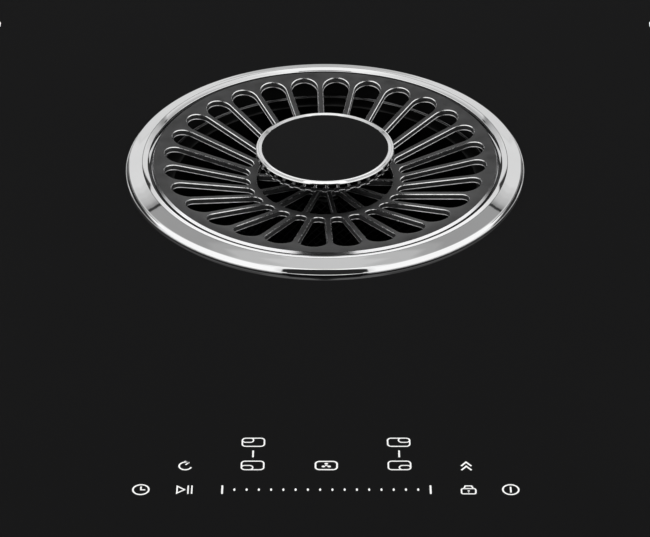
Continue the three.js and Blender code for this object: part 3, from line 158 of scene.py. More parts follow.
def box(x0, x1, y0, y1, z0, z1, edge=0.0):
    """A bar along its longest side with its four long edges broken."""
    e = edge
    low = [(x0 + e, y0), (x1 - e, y0), (x1, y0 + e), (x1, y1 - e), (x1 - e, y1), (x0 + e, y1)]
    outline = low + [(x0, y1 - e), (x0, y0 + e)]
    return loft([[(x, y, z0) for x, y in outline], [(x, y, z1) for x, y in outline]])


def piece(name, shape, looks, body, nodes=(), crease=SHARP_OVER, slots=None):
    """Makes the mesh in metres, with its corners over crease degrees kept sharp, on its body."""
    points, faces = shape
    mesh = bpy.data.meshes.new(name)
    mesh.from_pydata([tuple(c * MM for c in p) for p in points], [], faces)
    for look in looks if isinstance(looks, (list, tuple)) else [looks]:
        mesh.materials.append(look)
    if slots:
        mesh.polygons.foreach_set("material_index", slots)
    shell = bmesh.new()
    shell.from_mesh(mesh)
    bmesh.ops.remove_doubles(shell, verts=shell.verts, dist=MERGE)
    bmesh.ops.recalc_face_normals(shell, faces=shell.faces)
    shell.to_mesh(mesh)
    shell.free()
    mesh.shade_smooth()
    mesh.set_sharp_from_angle(angle=math.radians(crease))
    thing = bpy.data.objects.new(name, mesh)
    scene.collection.objects.link(thing)
    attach(thing, body)
    if nodes:
        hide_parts(*nodes)
    return thing


def smooth_group():
    """A modifier that smooths a mesh and keeps its corners over SHARP_OVER degrees sharp."""
    group = bpy.data.node_groups.new("smooth_rounds", "GeometryNodeTree")
    group.interface.new_socket("Geometry", in_out="INPUT", socket_type="NodeSocketGeometry")
    group.interface.new_socket("Geometry", in_out="OUTPUT", socket_type="NodeSocketGeometry")
    start = group.nodes.new("NodeGroupInput")
    bare = group.nodes.new("GeometryNodeRemoveAttribute")
    bare.inputs["Name"].default_value = "custom_normal"
    faces = group.nodes.new("GeometryNodeSetShadeSmooth")
    edges = group.nodes.new("GeometryNodeSetShadeSmooth")
    edges.domain = "EDGE"
    edges.inputs["Shade Smooth"].default_value = False
    angle = group.nodes.new("GeometryNodeInputMeshEdgeAngle")
    sharp = group.nodes.new("FunctionNodeCompare")
    sharp.operation = "GREATER_THAN"
    sharp.inputs[1].default_value = math.radians(SHARP_OVER)
    end = group.nodes.new("NodeGroupOutput")
    link = group.links.new
    link(start.outputs[0], bare.inputs["Geometry"])
    link(bare.outputs["Geometry"], faces.inputs["Geometry"])
    link(faces.outputs["Geometry"], edges.inputs["Geometry"])
    link(angle.outputs["Unsigned Angle"], sharp.inputs[0])
    link(sharp.outputs["Result"], edges.inputs["Selection"])
    link(edges.outputs["Geometry"], end.inputs[0])
    return group


smooth_rounds = smooth_group()


def dress(nodes, look, edge=0.3):
    """Gives CAD nodes a material, broken edges of that width and smooth rounds."""
    for name in nodes:
        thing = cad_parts[name]
        thing.data.materials.clear()
        thing.data.materials.append(look)
        weld = thing.modifiers.new("weld", "WELD")
        weld.merge_threshold = MERGE
        flat = thing.modifiers.new("flat", "DECIMATE")
        flat.decimate_type = "DISSOLVE"
        flat.angle_limit = math.radians(FLAT_UNDER)
        if edge:
            bevel = thing.modifiers.new("edges", "BEVEL")
            bevel.width = edge * MM
            bevel.segments = BREAK_CUTS
            bevel.limit_method = "ANGLE"
            bevel.angle_limit = math.radians(BREAK_OVER)
        smooth = thing.modifiers.new("smooth", "NODES")
        smooth.node_group = smooth_rounds
        normals = thing.modifiers.new("normals", "WEIGHTED_NORMAL")
        normals.keep_sharp = True


black_plastic = grained("black_moulded_plastic", (0.017, 0.0172, 0.018), (0.42, 0.55), 0.9, 0.03)
dress(["fan_box", "fan_box_lid"], black_plastic, 0.5)

BOX_X0, BOX_X1, BOX_Y0, BOX_Y1 = -110, 330, -130, 232
RIB_W, RIB_OUT, RIB_IN, RIB_EDGE, RIB_Z0, RIB_Z1 = 2.4, 1.4, 0.2, 0.3, 8, 142
SIDE_RIBS, SIDE_RIB_START, RIB_PITCH = 7, 37, 48
FRONT_RIBS, REAR_RIBS = (150, 198, 246, 294), (-86, -38, 10, 58)
# These ribs start higher, above the tray's front plate and the outlet's flange.
TRAY_RIBS, OUTLET_RIBS, SHORT_RIB_Z0 = (-86, -38, 10), (110, 158, 206, 254, 302), 108
ribs = []
for i in range(SIDE_RIBS):
    y = BOX_Y0 + SIDE_RIB_START + RIB_PITCH * i
    for x0, x1 in ((BOX_X0 - RIB_OUT, BOX_X0 + RIB_IN), (BOX_X1 - RIB_IN, BOX_X1 + RIB_OUT)):
        ribs.append(box(x0, x1, y - RIB_W / 2, y + RIB_W / 2, RIB_Z0, RIB_Z1, RIB_EDGE))
front, rear = (BOX_Y0 - RIB_OUT, BOX_Y0 + RIB_IN), (BOX_Y1 - RIB_IN, BOX_Y1 + RIB_OUT)
for places, wall, low in (
    (TRAY_RIBS, front, SHORT_RIB_Z0),
    (FRONT_RIBS, front, RIB_Z0),
    (REAR_RIBS, rear, RIB_Z0),
    (OUTLET_RIBS, rear, SHORT_RIB_Z0),
):
    for x in places:
        ribs.append(box(x - RIB_W / 2, x + RIB_W / 2, *wall, low, RIB_Z1, RIB_EDGE))
piece("fan_box_ribs", together(ribs), black_plastic, "hob")

# ---- drip tray
# A shallow black tray with a front plate and a finger grip, moulded in one and pushed in from the
# front over the box floor. It catches what runs down the well.
dress(["drip_tray"], black_plastic, 0.4)

# ---- volute, inlet ring and impeller
# The scroll housing and the curved-blade wheel are grey glass-filled plastic. A black bell-mouth
# ring guides the air into the wheel.
grey_plastic = grained("grey_moulded_plastic", (0.16, 0.165, 0.17), (0.45, 0.6), 0.8, 0.03, 0.07)
dress(["volute", "impeller"], grey_plastic, 0.25)
dress(["inlet_ring"], black_plastic, 0.25)

# ---- fan motor
# A closed motor in a drawn steel can, with a ground shaft. It is screwed to the scroll housing by
# its flange.
brushed = grained(
    "brushed_stainless", (0.58, 0.59, 0.6), (0.22, 0.4), 0.35, 0.006, 0.06, 1.0, (1, 1, 0.05)
)
dress(["fan_motor"], brushed, 0.3)

# ---- outlet spigot and flap
# A rectangular socket of black plastic screwed to the back of the box by its flange. A thin grey
# flap on two pins hangs inside it, and only the air stream lifts it.
dress(["outlet_spigot"], black_plastic, 0.4)
dress(["backdraught_flap"], grey_plastic, 0.2)


HEAD_STEPS, HEAD_SINK = 24, 0.2


def screw(x, y, z, axis, r=2.8, height=1.5):
    """A low round screw head with a hexagon socket, its top facing along axis."""
    up = Vector(axis)
    side = up.orthogonal().normalized()
    other = up.cross(side)

    def around(size, level, corners=0):
        loop = []
        for i in range(HEAD_STEPS):
            a = 2 * math.pi * i / HEAD_STEPS
            part = (a % (math.pi / 3)) - math.pi / 6
            reach = size * math.cos(math.pi / 6) / math.cos(part) if corners else size
            spot = Vector((x, y, z)) + up * level
            loop.append(tuple(spot + side * reach * math.cos(a) + other * reach * math.sin(a)))
        return loop

    return loft(
        [
            around(r, -HEAD_SINK),
            around(r, height * 0.45),
            around(r * 0.93, height * 0.8),
            around(r * 0.76, height),
            around(r * 0.5, height, 6),
            around(r * 0.46, height * 0.3, 6),
        ]
    )


steel = grained("zinc_plated_steel", (0.5, 0.5, 0.48), (0.25, 0.42), 0.5, 0.01, 0.12, 1.0)
TO_REAR, TO_FRONT, DOWN = (0, 1, 0), (0, -1, 0), (0, 0, -1)
FLANGE_Y, FLANGE_SCREW_X, FLANGE_SCREW_Z = 234.3, (73.8, 306.2), (14, 52.5, 91)
flange_screws = [screw(x, FLANGE_Y, z, TO_REAR) for x in FLANGE_SCREW_X for z in FLANGE_SCREW_Z]
piece("spigot_screws", together(flange_screws), steel, "hob")

# ---- mains connection
# A small black terminal box under the case with a screwed cover, a five-way strip inside and a
# ribbed nylon gland in its side wall.
dress(["terminal_box", "terminal_cover"], black_plastic, 0.4)
nylon = grained("black_nylon", (0.02, 0.02, 0.021), (0.3, 0.42), 0.6, 0.02)
dress(["cable_gland"], nylon, 0.35)
dress(["terminal_block"], grey_plastic, 0.25)

COVER_Z, COVER_SCREW_X, COVER_SCREW_Y = 115.4, (-323, -237), (147, 209)
cover_screws = [screw(x, y, COVER_Z, DOWN) for x in COVER_SCREW_X for y in COVER_SCREW_Y]
piece("terminal_cover_screws", together(cover_screws), steel, "hob")

# ---- upper case
# A tray pressed from galvanised sheet, with its spangled zinc left bare. Rivets hold the board
# posts, and rows of slots let the cooling air in and out.
ZINC, SPANGLE = (0.55, 0.565, 0.575), 7
galvanised, tree, surface = shader("galvanised_sheet", ZINC, 0.35, 1.0)
place = tree.nodes.new("ShaderNodeTexCoord")
spangle = tree.nodes.new("ShaderNodeTexVoronoi")
spangle.inputs["Scale"].default_value = 1 / (SPANGLE * MM)
spangle.inputs["Randomness"].default_value = 1.0
tree.links.new(place.outputs["Object"], spangle.inputs["Vector"])
split = tree.nodes.new("ShaderNodeSeparateColor")
tree.links.new(spangle.outputs["Color"], split.inputs["Color"])
flakes = tint(tree, split.outputs["Red"], ZINC, 0.12, 0.0, 1.0)
tree.links.new(flakes, surface.inputs["Base Color"])
flake_gloss = spread(tree, split.outputs["Green"], 0.28, 0.46, 0.0, 1.0)
tree.links.new(flake_gloss, surface.inputs["Roughness"])
relief(tree, surface, grain(tree, 1.5), 0.01)
dress(["upper_case"], galvanised, 0.25)

CASE_Z, CASE_WALL_Y, WALL_RIVET_Z = 152.0, 239.0, 188
POST_RIVET, WALL_RIVET = (2.6, 0.9), (2.4, 0.9)
POSTS = [(x, y) for x in (-370, -200, 370) for y in (-181, 31)] + [(200, -181)]
rivets = [screw(x, y, CASE_Z, DOWN, *POST_RIVET) for x, y in POSTS]
for x in (-300, -150, 0, 150, 300):
    rivets.append(screw(x, -CASE_WALL_Y, WALL_RIVET_Z, TO_FRONT, *WALL_RIVET))
    rivets.append(screw(x, CASE_WALL_Y, WALL_RIVET_Z, TO_REAR, *WALL_RIVET))
piece("case_rivets", together(rivets), steel, "hob")

# ---- power electronics
# Two green power boards on posts, each with an extruded aluminium heat sink, and two small black
# fans that blow over them.
solder_mask = grained(
    "green_solder_mask", (0.012, 0.09, 0.04), (0.25, 0.4), 2.5, 0.02, shade=0.3, cloud=6
)
dress(["power_board_left", "power_board_right"], solder_mask, 0.0)
extruded = grained(
    "extruded_aluminium", (0.7, 0.71, 0.72), (0.28, 0.42), 0.4, 0.008, 0.05, 1.0, (1, 0.04, 1)
)
dress(["heat_sink_left", "heat_sink_right"], extruded, 0.15)
dress(["cooling_fan_frame_left", "cooling_fan_frame_right"], black_plastic, 0.3)
dress(["cooling_fan_rotor_left", "cooling_fan_rotor_right"], grey_plastic, 0.2)

# ---- coils
# Flat oval coils wound from enamelled stranded wire, each on a folded aluminium carrier under a
# sheet of mica.
enamelled = grained("enamelled_copper", (0.5, 0.2, 0.09), (0.25, 0.4), 0.7, 0.05, 0.2, 1.0, cloud=4)
WIRE_R, WIRE_SIDES, TURNS, EYE_R, COIL_STEPS = 1.9, 6, 20, 14, 72
COIL_ROUND = [2 * math.pi * i / COIL_STEPS for i in range(COIL_STEPS)]
for name in ("coil_rear_left", "coil_front_left", "coil_rear_right", "coil_front_right"):
    low, high = (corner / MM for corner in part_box(name))
    middle = (low + high) / 2
    half_x, half_y = (high.x - low.x) / 2, (high.y - low.y) / 2
    eye = EYE_R + WIRE_R
    windings = []
    for turn in range(TURNS):
        share = turn / (TURNS - 1)
        a = eye + (half_x - WIRE_R - eye) * share
        b = eye + (half_y - WIRE_R - eye) * share
        loops = []
        for k in range(WIRE_SIDES):
            swing = 2 * math.pi * k / WIRE_SIDES
            out, z = WIRE_R * math.cos(swing), middle.z + WIRE_R * math.sin(swing)
            wide, deep = a + out, b + out
            spots = [(wide * math.cos(t), deep * math.sin(t)) for t in COIL_ROUND]
            loops.append([(middle.x + x, middle.y + y, z) for x, y in spots])
        windings.append(loft(loops, closed=True))
    piece(name + "_windings", together(windings), enamelled, "hob", [name], 80)
mill = grained(
    "mill_aluminium", (0.68, 0.69, 0.7), (0.3, 0.45), 0.6, 0.006, 0.05, 1.0, (1, 0.05, 1)
)
dress(["coil_carrier_left", "coil_carrier_right"], mill, 0.2)
mica = grained("mica_sheet", (0.42, 0.36, 0.25), (0.35, 0.6), 3.0, 0.03, 0.25, cloud=8)
dress(["mica_sheet_left", "mica_sheet_right"], mica, 0.0)

# ---- touch sensor board
# A thin green circuit board below the printed symbols. A moulded grey plastic bracket presses it
# against the glass.
dress(["touch_board"], solder_mask, 0.0)
dress(["touch_board_bracket"], grey_plastic, 0.3)

# ---- worktop clamps
# Folded stainless brackets riveted to the case, each with a threaded screw whose pad pulls the hob
# down on the worktop.
dress([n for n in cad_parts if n.startswith("clamp_bracket")], brushed, 0.3)
THREAD_R, THREAD_DEPTH, THREAD_PITCH, THREAD_START, CREST = 3.0, 0.45, 1.0, 0.6, 0.02
PAD_R, PAD_T, PAD_EDGE, CLAMP_STEPS = 6.0, 2.0, 0.5, 24
for name in [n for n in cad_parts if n.startswith("clamp_screw")]:
    low, high = (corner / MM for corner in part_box(name))
    x, y = (low.x + high.x) / 2, (low.y + high.y) / 2
    root, neck = THREAD_R - THREAD_DEPTH, high.z - PAD_T
    outline = [(THREAD_R * 0.6, low.z), (THREAD_R * 0.75, low.z)]
    z = low.z + THREAD_START
    while z < high.z - PAD_T - THREAD_PITCH:
        outline += [(root, z), (THREAD_R - CREST, z + THREAD_PITCH / 2)]
        z += THREAD_PITCH
    outline += [(root, neck), (PAD_R - PAD_EDGE, neck), (PAD_R, neck + PAD_EDGE)]
    outline += [(PAD_R, high.z - PAD_EDGE), (PAD_R - PAD_EDGE, high.z), (PAD_R * 0.3, high.z)]
    loops = [circle(r, z, CLAMP_STEPS, x, y) for r, z in outline]
    piece(name + "_threaded", loft(loops), brushed, "hob", [name], 50)
CLAMP_X, CLAMP_Y, CLAMP_RIVET_Y, CLAMP_RIVET_Z = 397.3, 150, 12, 188.5
clamp_rivets = []
for side in (-1, 1):
    for row in (-CLAMP_Y, CLAMP_Y):
        for shift in (-CLAMP_RIVET_Y, CLAMP_RIVET_Y):
            spot = (side * CLAMP_X, row + shift, CLAMP_RIVET_Z)
            clamp_rivets.append(screw(*spot, (side, 0, 0), *WALL_RIVET))
piece("clamp_rivets", together(clamp_rivets), steel, "hob")

# ---- glass frame and worktop seal
# An extruded aluminium frame glued under the glass carries the case, and a strip of black foam
# rubber round the edge seals the glass to the worktop.
dress(["glass_frame"], mill, 0.4)
foam = grained("foam_rubber", (0.018, 0.018, 0.018), (0.8, 0.95), 0.5, 0.12, 0.25)
dress(["worktop_seal"], foam, 0.4)

# ---- intake well
# A tube moulded in black plastic, fixed under the vent. A ledge inside its upper end carries the
# grease filter.
VENT_Y, TOP_Z, WELL_FOOT, WELL_STEPS = 38.5, 212.0, 147.5, 128
DROP = TOP_Z - WELL_FOOT


def round_vent(profile, steps):
    """A turned ring round the middle of the vent, with its heights given from the glass top."""
    return turned([(r, TOP_Z + z) for r, z in profile], steps, 0, VENT_Y)


well = [(88, -1.2), (87.6, -0.8), (86.2, -0.8), (85.8, -1.2), (85.8, -10.2), (85.5, -10.5)]
well += [(80.3, -10.5), (80, -10.8), (80, -DROP + 0.3), (80.3, -DROP), (81.9, -DROP)]
well += [(82.2, -DROP + 0.3), (82.2, -12.9), (82.4, -12.7), (87.6, -12.7), (88, -12.3)]
well_plastic = grained("black_well_plastic", (0.012, 0.012, 0.0125), (0.34, 0.46), 1.1, 0.02)
tube = round_vent(well, WELL_STEPS)
piece("well_tube", tube, well_plastic, "hob", ["intake_well"])

# ---- grease filter
# A deep stainless basket pressed from sheet, with a bright rolled rim that hangs on the well's
# ledge and nine windows round its side. Layers of aluminium mesh line it.
RIM_TOP, BASKET_H, BASKET_STEPS = -9.0, 118, 144
FLOOR = RIM_TOP - BASKET_H
WALL_R, WALL_T, WALL_TOP = 78, 1.6, RIM_TOP - 1.2
WINDOWS, WINDOW_LOW, WINDOW_H, WINDOW_EDGE, BAR_W = 9, 9, 46, 1.5, 9


def filter_wall():
    """The round wall with its windows, between the rim and the floor."""
    steps = BASKET_STEPS
    per = steps // WINDOWS
    bar = math.ceil(BAR_W / (2 * math.pi * WALL_R / steps))
    low, high = FLOOR + WINDOW_LOW, FLOOR + WINDOW_LOW + WINDOW_H
    levels = [FLOOR + WALL_T, low, low + WINDOW_EDGE, high - WINDOW_EDGE, high, WALL_TOP]
    points, faces = [], []
    for r in (WALL_R, WALL_R - WALL_T):
        for z in levels:
            points += [(x, y + VENT_Y, z + TOP_Z) for x, y, z in circle(r, z, steps)]

    def corner(skin, level, i):
        return (skin * len(levels) + level) * steps + i % steps

    def is_open(level, i):
        """Whether a window lies there. Its first and last row and column are shorter."""
        step = (i + per // 2 + bar // 2) % per
        if not 1 <= level <= 3 or step < bar:
            return False
        return level == 2 or bar < step < per - 1

    for level in range(len(levels) - 1):
        for i in range(steps):
            if is_open(level, i):
                continue
            for skin in (0, 1):
                a, b = corner(skin, level, i), corner(skin, level, i + 1)
                faces.append((a, b, corner(skin, level + 1, i + 1), corner(skin, level + 1, i)))
            for beside, start, end in (
                ((level, i - 1), (level, i), (level + 1, i)),
                ((level, i + 1), (level, i + 1), (level + 1, i + 1)),
                ((level + 1, i), (level + 1, i), (level + 1, i + 1)),
                ((level - 1, i), (level, i), (level, i + 1)),
            ):
                if is_open(*beside):
                    inside = corner(1, *start), corner(1, *end)
                    faces.append((corner(0, *start), *inside, corner(0, *end)))
    return points, faces


basket_rim = [(76.4, -10.6), (76.4, -9.9), (76.8, -9.5), (77.6, -9.3), (83.7, -9.1), (83.9, -8.8)]
basket_rim += [(84.0, -8.4), (84.2, -8.1), (84.45, -8.0), (84.7, -8.1), (84.9, -8.4), (85.0, -9.0)]
basket_rim += [(84.9, -9.8), (84.6, -10.2), (78.3, -10.2), (78, -10.5), (78, -10.6)]
basket_floor = [(0.01, 0), (76.8, 0), (77.6, 0.3), (78, 1.0), (78, 1.8), (76.4, 1.8), (76.2, 1.6)]
basket_floor += [(0.01, 1.6)]
# Painted shade: the rim's and the basket's steel are far darker than bare stainless, for the shade
# deep in the well under the grille.
rim_steel = grained(
    "rolled_rim_steel", (0.13, 0.13, 0.132), (0.18, 0.3), 0.4, 0.005, 0.05, 1.0, (1, 1, 0.06)
)
basket_steel = grained(
    "basket_steel_painted_shade", (0.022, 0.022, 0.022), (0.4, 0.55), 1.2, 0.01, 0.3, 1.0, (1, 1, 0.3)
)
floor_levels = [(r, TOP_Z + FLOOR + z) for r, z in basket_floor]
wall_shape, floor_shape = filter_wall(), turned(floor_levels, BASKET_STEPS, 0, VENT_Y)
rim_shape = round_vent(basket_rim, BASKET_STEPS)
BEAD_FROM, BEAD_TO = 4, 11
rim_faces = range(len(rim_shape[1]))
rim_marks = [1 if BEAD_FROM <= i // BASKET_STEPS <= BEAD_TO else 0 for i in rim_faces]
basket_marks = [0] * (len(wall_shape[1]) + len(floor_shape[1])) + rim_marks
basket = together([wall_shape, floor_shape, rim_shape])
basket_looks = [basket_steel, rim_steel]
piece(
    "filter_basket_wall", basket, basket_looks, "filter", ["filter_basket"], slots=basket_marks
)

MESH_R, MESH_Z, MESH_H, WIRES, WIRE_TURN, WIRE_STEPS = 75.1, FLOOR + 2.0, 55.6, 96, 0.75, 9
LAYER, WIRE_OUT, WIRE_ALONG = 0.45, 0.35, 0.55
wires = []
for layer, way in ((LAYER, 1), (-LAYER, -1)):
    for i in range(WIRES):
        loops = []
        for k in range(WIRE_STEPS + 1):
            rise = MESH_H * k / WIRE_STEPS
            a = 2 * math.pi * i / WIRES + way * WIRE_TURN * k / WIRE_STEPS
            r = MESH_R + layer
            loop = []
            for out, turn in ((WIRE_OUT, 0), (0, WIRE_ALONG), (-WIRE_OUT, 0), (0, -WIRE_ALONG)):
                swing = a + turn / r
                spot = ((r + out) * math.cos(swing), (r + out) * math.sin(swing) + VENT_Y)
                loop.append((*spot, TOP_Z + MESH_Z + rise))
            loops.append(loop)
        wires.append(loft(loops))
# Painted shade: the mesh wire is far darker than bare aluminium, for the shade deep in the well.
mesh_metal = grained(
    "aluminium_wire_painted_shade", (0.035, 0.035, 0.036), (0.5, 0.65), 0.8, 0.01, 0.2, 1.0
)
piece("filter_mesh_wires", together(wires), mesh_metal, "filter", ["filter_mesh"], 60)

# ---- glass top
# One sheet of black glass ceramic, 4 mm thick, with rounded corners, a ground and polished facet
# round its edge and a round hole for the vent. It is the same deep black all over.
GLASS_W, GLASS_D, GLASS_T, CORNER_R, CORNER_CUTS, SIDE_CUTS = 830, 515, 4, 6, 12, 48
GLASS_Z = TOP_Z - GLASS_T
FACET, FACET_H, ROUND_IN, ROUND_H = 0.5, 0.9, 0.12, 0.45
HOLE_R, HOLE_FACET = 91.2, 0.4


def glass_outline(inset):
    """The rounded outline, anticlockwise, with the same number of points for every inset."""
    r = CORNER_R - inset
    w, d = GLASS_W / 2 - CORNER_R, GLASS_D / 2 - CORNER_R
    arcs = []
    for cx, cy, start in ((w, d, 0), (-w, d, 90), (-w, -d, 180), (w, -d, 270)):
        angles = [math.radians(start + 90 / CORNER_CUTS * i) for i in range(CORNER_CUTS + 1)]
        arcs.append([(cx + r * math.cos(a), cy + r * math.sin(a)) for a in angles])
    outline = []
    for i, arc in enumerate(arcs):
        outline += arc
        (x0, y0), (x1, y1) = arc[-1], arcs[(i + 1) % 4][0]
        for k in range(1, SIDE_CUTS):
            outline.append((x0 + (x1 - x0) * k / SIDE_CUTS, y0 + (y1 - y0) * k / SIDE_CUTS))
    return outline


def hole_outline(r):
    angles = [math.atan2(y - VENT_Y, x) for x, y in glass_outline(0)]
    return [(r * math.cos(a), VENT_Y + r * math.sin(a)) for a in angles]


def level(outline, z):
    return [(x, y, z) for x, y in outline]


low_facet = [(FACET, GLASS_Z), (ROUND_IN, GLASS_Z + ROUND_H), (0, GLASS_Z + FACET_H)]
top_facet = [(0, TOP_Z - FACET_H), (ROUND_IN, TOP_Z - ROUND_H), (FACET, TOP_Z)]
hole = [(HOLE_R + HOLE_FACET, TOP_Z), (HOLE_R, TOP_Z - HOLE_FACET), (HOLE_R, GLASS_Z + HOLE_FACET)]
loops = [level(hole_outline(HOLE_R + HOLE_FACET), GLASS_Z)]
loops += [level(glass_outline(inset), z) for inset, z in low_facet + top_facet]
loops += [level(hole_outline(r), z) for r, z in hole]
glass = loft(loops, closed=True)
GLASS_IOR = 1.5
black_glass, tree, surface = shader("black_glass_ceramic", (0.007, 0.007, 0.0072), 0.05)
surface.inputs["IOR"].default_value = GLASS_IOR
smear = grain(tree, 90, detail=4)
tree.links.new(spread(tree, smear, 0.035, 0.075), surface.inputs["Roughness"])
relief(tree, surface, grain(tree, 40, detail=1), 0.004)
piece("glass_sheet", glass, black_glass, "hob", ["glass_top"], 20)

# ---- printed symbols
# White ceramic ink fired on the glass: the row of touch symbols, the slider's dots, the four zone
# symbols, the fan symbol and the corner marks of the cooking areas.
INK_LOW, INK_HIGH, INK_LIFT, STROKE, MITRE, DOT_STEPS = 0.004, 0.03, 0.012, 0.74, 0.4, 16
FIRED_WHITE = (0.93, 0.93, 0.92)
ink_white, tree, surface = shader("white_ceramic_ink", FIRED_WHITE, 0.5)
tree.links.new(tint(tree, grain(tree, 0.4), FIRED_WHITE, 0.03), surface.inputs["Base Color"])
relief(tree, surface, grain(tree, 0.25), 0.004)
ink = []


def lay(outline, hole=None, lift=0.0):
    """One patch of ink, from its outline and, for a frame, its equally long hole outline."""
    low, high = TOP_Z + INK_LOW, TOP_Z + INK_HIGH + lift
    shifted = [(x, y + VENT_Y) for x, y in outline]
    if hole is None:
        ink.append(loft([level(shifted, low), level(shifted, high)]))
        return
    inner = [(x, y + VENT_Y) for x, y in hole]
    walls = [level(shifted, low), level(shifted, high), level(inner, high), level(inner, low)]
    ink.append(loft(walls, closed=True))


def stroke(points, width=STROKE, closed=False, lift=0.0):
    """A line of ink through the points, with square corners where it turns."""
    path = [Vector(p) for p in points]
    left, right = [], []
    for i, here in enumerate(path):
        before = path[i - 1] if closed or i > 0 else None
        after = path[(i + 1) % len(path)] if closed or i < len(path) - 1 else None
        into = (here - before).normalized() if before is not None else (after - here).normalized()
        out = (after - here).normalized() if after is not None else into
        across = Vector((-(into + out).y, (into + out).x)).normalized()
        reach = width / 2 / max(MITRE, across.dot(Vector((-into.y, into.x))))
        left.append(tuple(here + across * reach))
        right.append(tuple(here - across * reach))
    if closed:
        lay(left, right, lift)
    else:
        lay(left + right[::-1], None, lift)


def dot(x, y, half_x, half_y):
    turns = [2 * math.pi * i / DOT_STEPS for i in range(DOT_STEPS)]
    lay([(x + half_x * math.cos(a), y + half_y * math.sin(a)) for a in turns])


def arc(x, y, r, start, end, steps=12, flat=1.0):
    angles = [math.radians(start + (end - start) * i / steps) for i in range(steps + 1)]
    return [(x + r * math.cos(a), y + flat * r * math.sin(a)) for a in angles]


def rounded(x0, x1, y0, y1, r):
    """A rounded rectangle's outline."""
    outline = []
    middles = (x1 - r, y1 - r), (x0 + r, y1 - r), (x0 + r, y0 + r), (x1 - r, y0 + r)
    for (cx, cy), start in zip(middles, (0, 90, 180, 270)):
        outline += arc(cx, cy, r, start, start + 90, 5)
    return outline


# The lower row: clock, play and pause, the slider between its end bars, lock, on and off.
ROW, CLOCK_X, LOCK_X, POWER_X, BUTTON_R = -263.3, -78.8, 61.45, 79.5, 3.4
stroke(arc(CLOCK_X, ROW, BUTTON_R, 0, 352.5, 47), closed=True)
stroke([(CLOCK_X, ROW + 2.2), (CLOCK_X, ROW - 0.1), (-76.9, ROW - 0.1)], 0.7)
stroke([(-63.3, ROW + 2.4), (-63.3, ROW - 2.4), (-60.1, ROW)], 0.66, closed=True)
for x in (-58.6, -57.0):
    stroke([(x, ROW + 2.9), (x, ROW - 2.9)], 0.62)
for x in (-44.0, 45.2):
    stroke([(x, ROW + 2.95), (x, ROW - 2.95)], 0.8)
SLIDER_X0, SLIDER_X1, SLIDER_DOTS = -38.8, 39.9, 16
for i in range(SLIDER_DOTS):
    dot(SLIDER_X0 + (SLIDER_X1 - SLIDER_X0) * i / (SLIDER_DOTS - 1), ROW, 0.45, 0.9)
stroke(rounded(58.4, 64.5, ROW - 2.9, ROW + 0.7, 0.8), 0.66, closed=True)
stroke([(59.5, ROW + 0.9), (60.1, ROW + 2.6), (62.8, ROW + 2.6), (63.4, ROW + 0.9)], 0.7)
dot(LOCK_X, ROW - 0.85, 0.5, 0.5)
stroke([(LOCK_X, ROW - 0.9), (LOCK_X, ROW - 2.0)], 0.45)
stroke(arc(POWER_X, ROW, BUTTON_R, 0, 352.5, 47), closed=True)
stroke([(POWER_X, ROW + 2.0), (POWER_X, ROW - 2.0)], 0.75)

# The upper row: a round arrow for the automatic setting and a double chevron for full power.
UPPER = -246.7
stroke(arc(-60.4, UPPER, 2.7, 60, 340, 26), 0.75)
stroke([(-60.9, UPPER + 3.4), (-59.1, UPPER + 2.3), (-60.4, UPPER + 0.8)], 0.7)
stroke([(58.9, UPPER - 0.1), (61.1, UPPER + 2.7), (63.3, UPPER - 0.1)], 0.8)
stroke([(58.9, UPPER - 3.0), (61.1, UPPER - 0.2), (63.3, UPPER - 3.0)], 0.8)

# The four zones, each a pill with a smaller pill in the corner where the zone lies.
PILL_STROKE, PILL_R, SPOT_HALF_X, SPOT_HALF_Y, SPOT_R, SPOT_STROKE = 0.66, 1.6, 2.45, 1.5, 1.45, 0.6
for side in (-1, 1):
    x0, x1 = (-36.15, -26.5) if side < 0 else (27.4, 37.05)
    middle = -31.3 if side < 0 else 32.25
    for y0, y1, upper in ((-232.7, -226.8, True), (-249.35, -243.3, False)):
        stroke(rounded(x0, x1, y0, y1, PILL_R), PILL_STROKE, closed=True)
        cx = x0 + SPOT_HALF_X if side < 0 else x1 - SPOT_HALF_X
        cy = y1 - SPOT_HALF_Y if upper else y0 + SPOT_HALF_Y
        spot_x, spot_y = (cx - SPOT_HALF_X, cx + SPOT_HALF_X), (cy - SPOT_HALF_Y, cy + SPOT_HALF_Y)
        stroke(rounded(*spot_x, *spot_y, SPOT_R), SPOT_STROKE, closed=True, lift=INK_LIFT)
    stroke([(middle, -235.7), (middle, -240.5)], 0.75)

# The vent's fan: three blades in a pill.
FAN_X, FAN_Y, BLADE_AT, BLADE_WIDER = 0.55, -246.4, 1.25, 1.15
stroke(rounded(-4.1, 5.2, -249.3, -243.5, 1.7), 0.75, closed=True)
for turn in (90, 210, 330):
    a = math.radians(turn)
    cx, cy = FAN_X + BLADE_AT * math.cos(a) * BLADE_WIDER, FAN_Y + BLADE_AT * math.sin(a)
    dot(cx, cy, 0.8, 0.62)
stroke([(0.0, FAN_Y), (1.1, FAN_Y)], 0.6)

# The corner marks of the two cooking areas.
MARK_X, MARK_REAR, MARK_FRONT = (177.25, 396.4), 150.6, -241.6
MARK_LEG, MARK_R, MARK_STROKE, MARK_STEPS = 6.2, 2.2, 1.0, 8
for side in (-1, 1):
    for x, inward in ((MARK_X[0], 1), (MARK_X[1], -1)):
        for y, down in ((MARK_REAR, -1), (MARK_FRONT, 1)):
            corner = []
            for i in range(MARK_STEPS + 1):
                a = math.radians(90 * i / MARK_STEPS)
                px = x + inward * MARK_R * (1 - math.cos(a))
                py = y + down * MARK_R * (1 - math.sin(a))
                corner.append((side * px, py))
            first = (side * x, y + down * MARK_LEG)
            last = (side * (x + inward * MARK_LEG), y)
            stroke([first, *corner, last], MARK_STROKE)
piece("printed_symbols", together(ink), ink_white, "hob", (), 40)

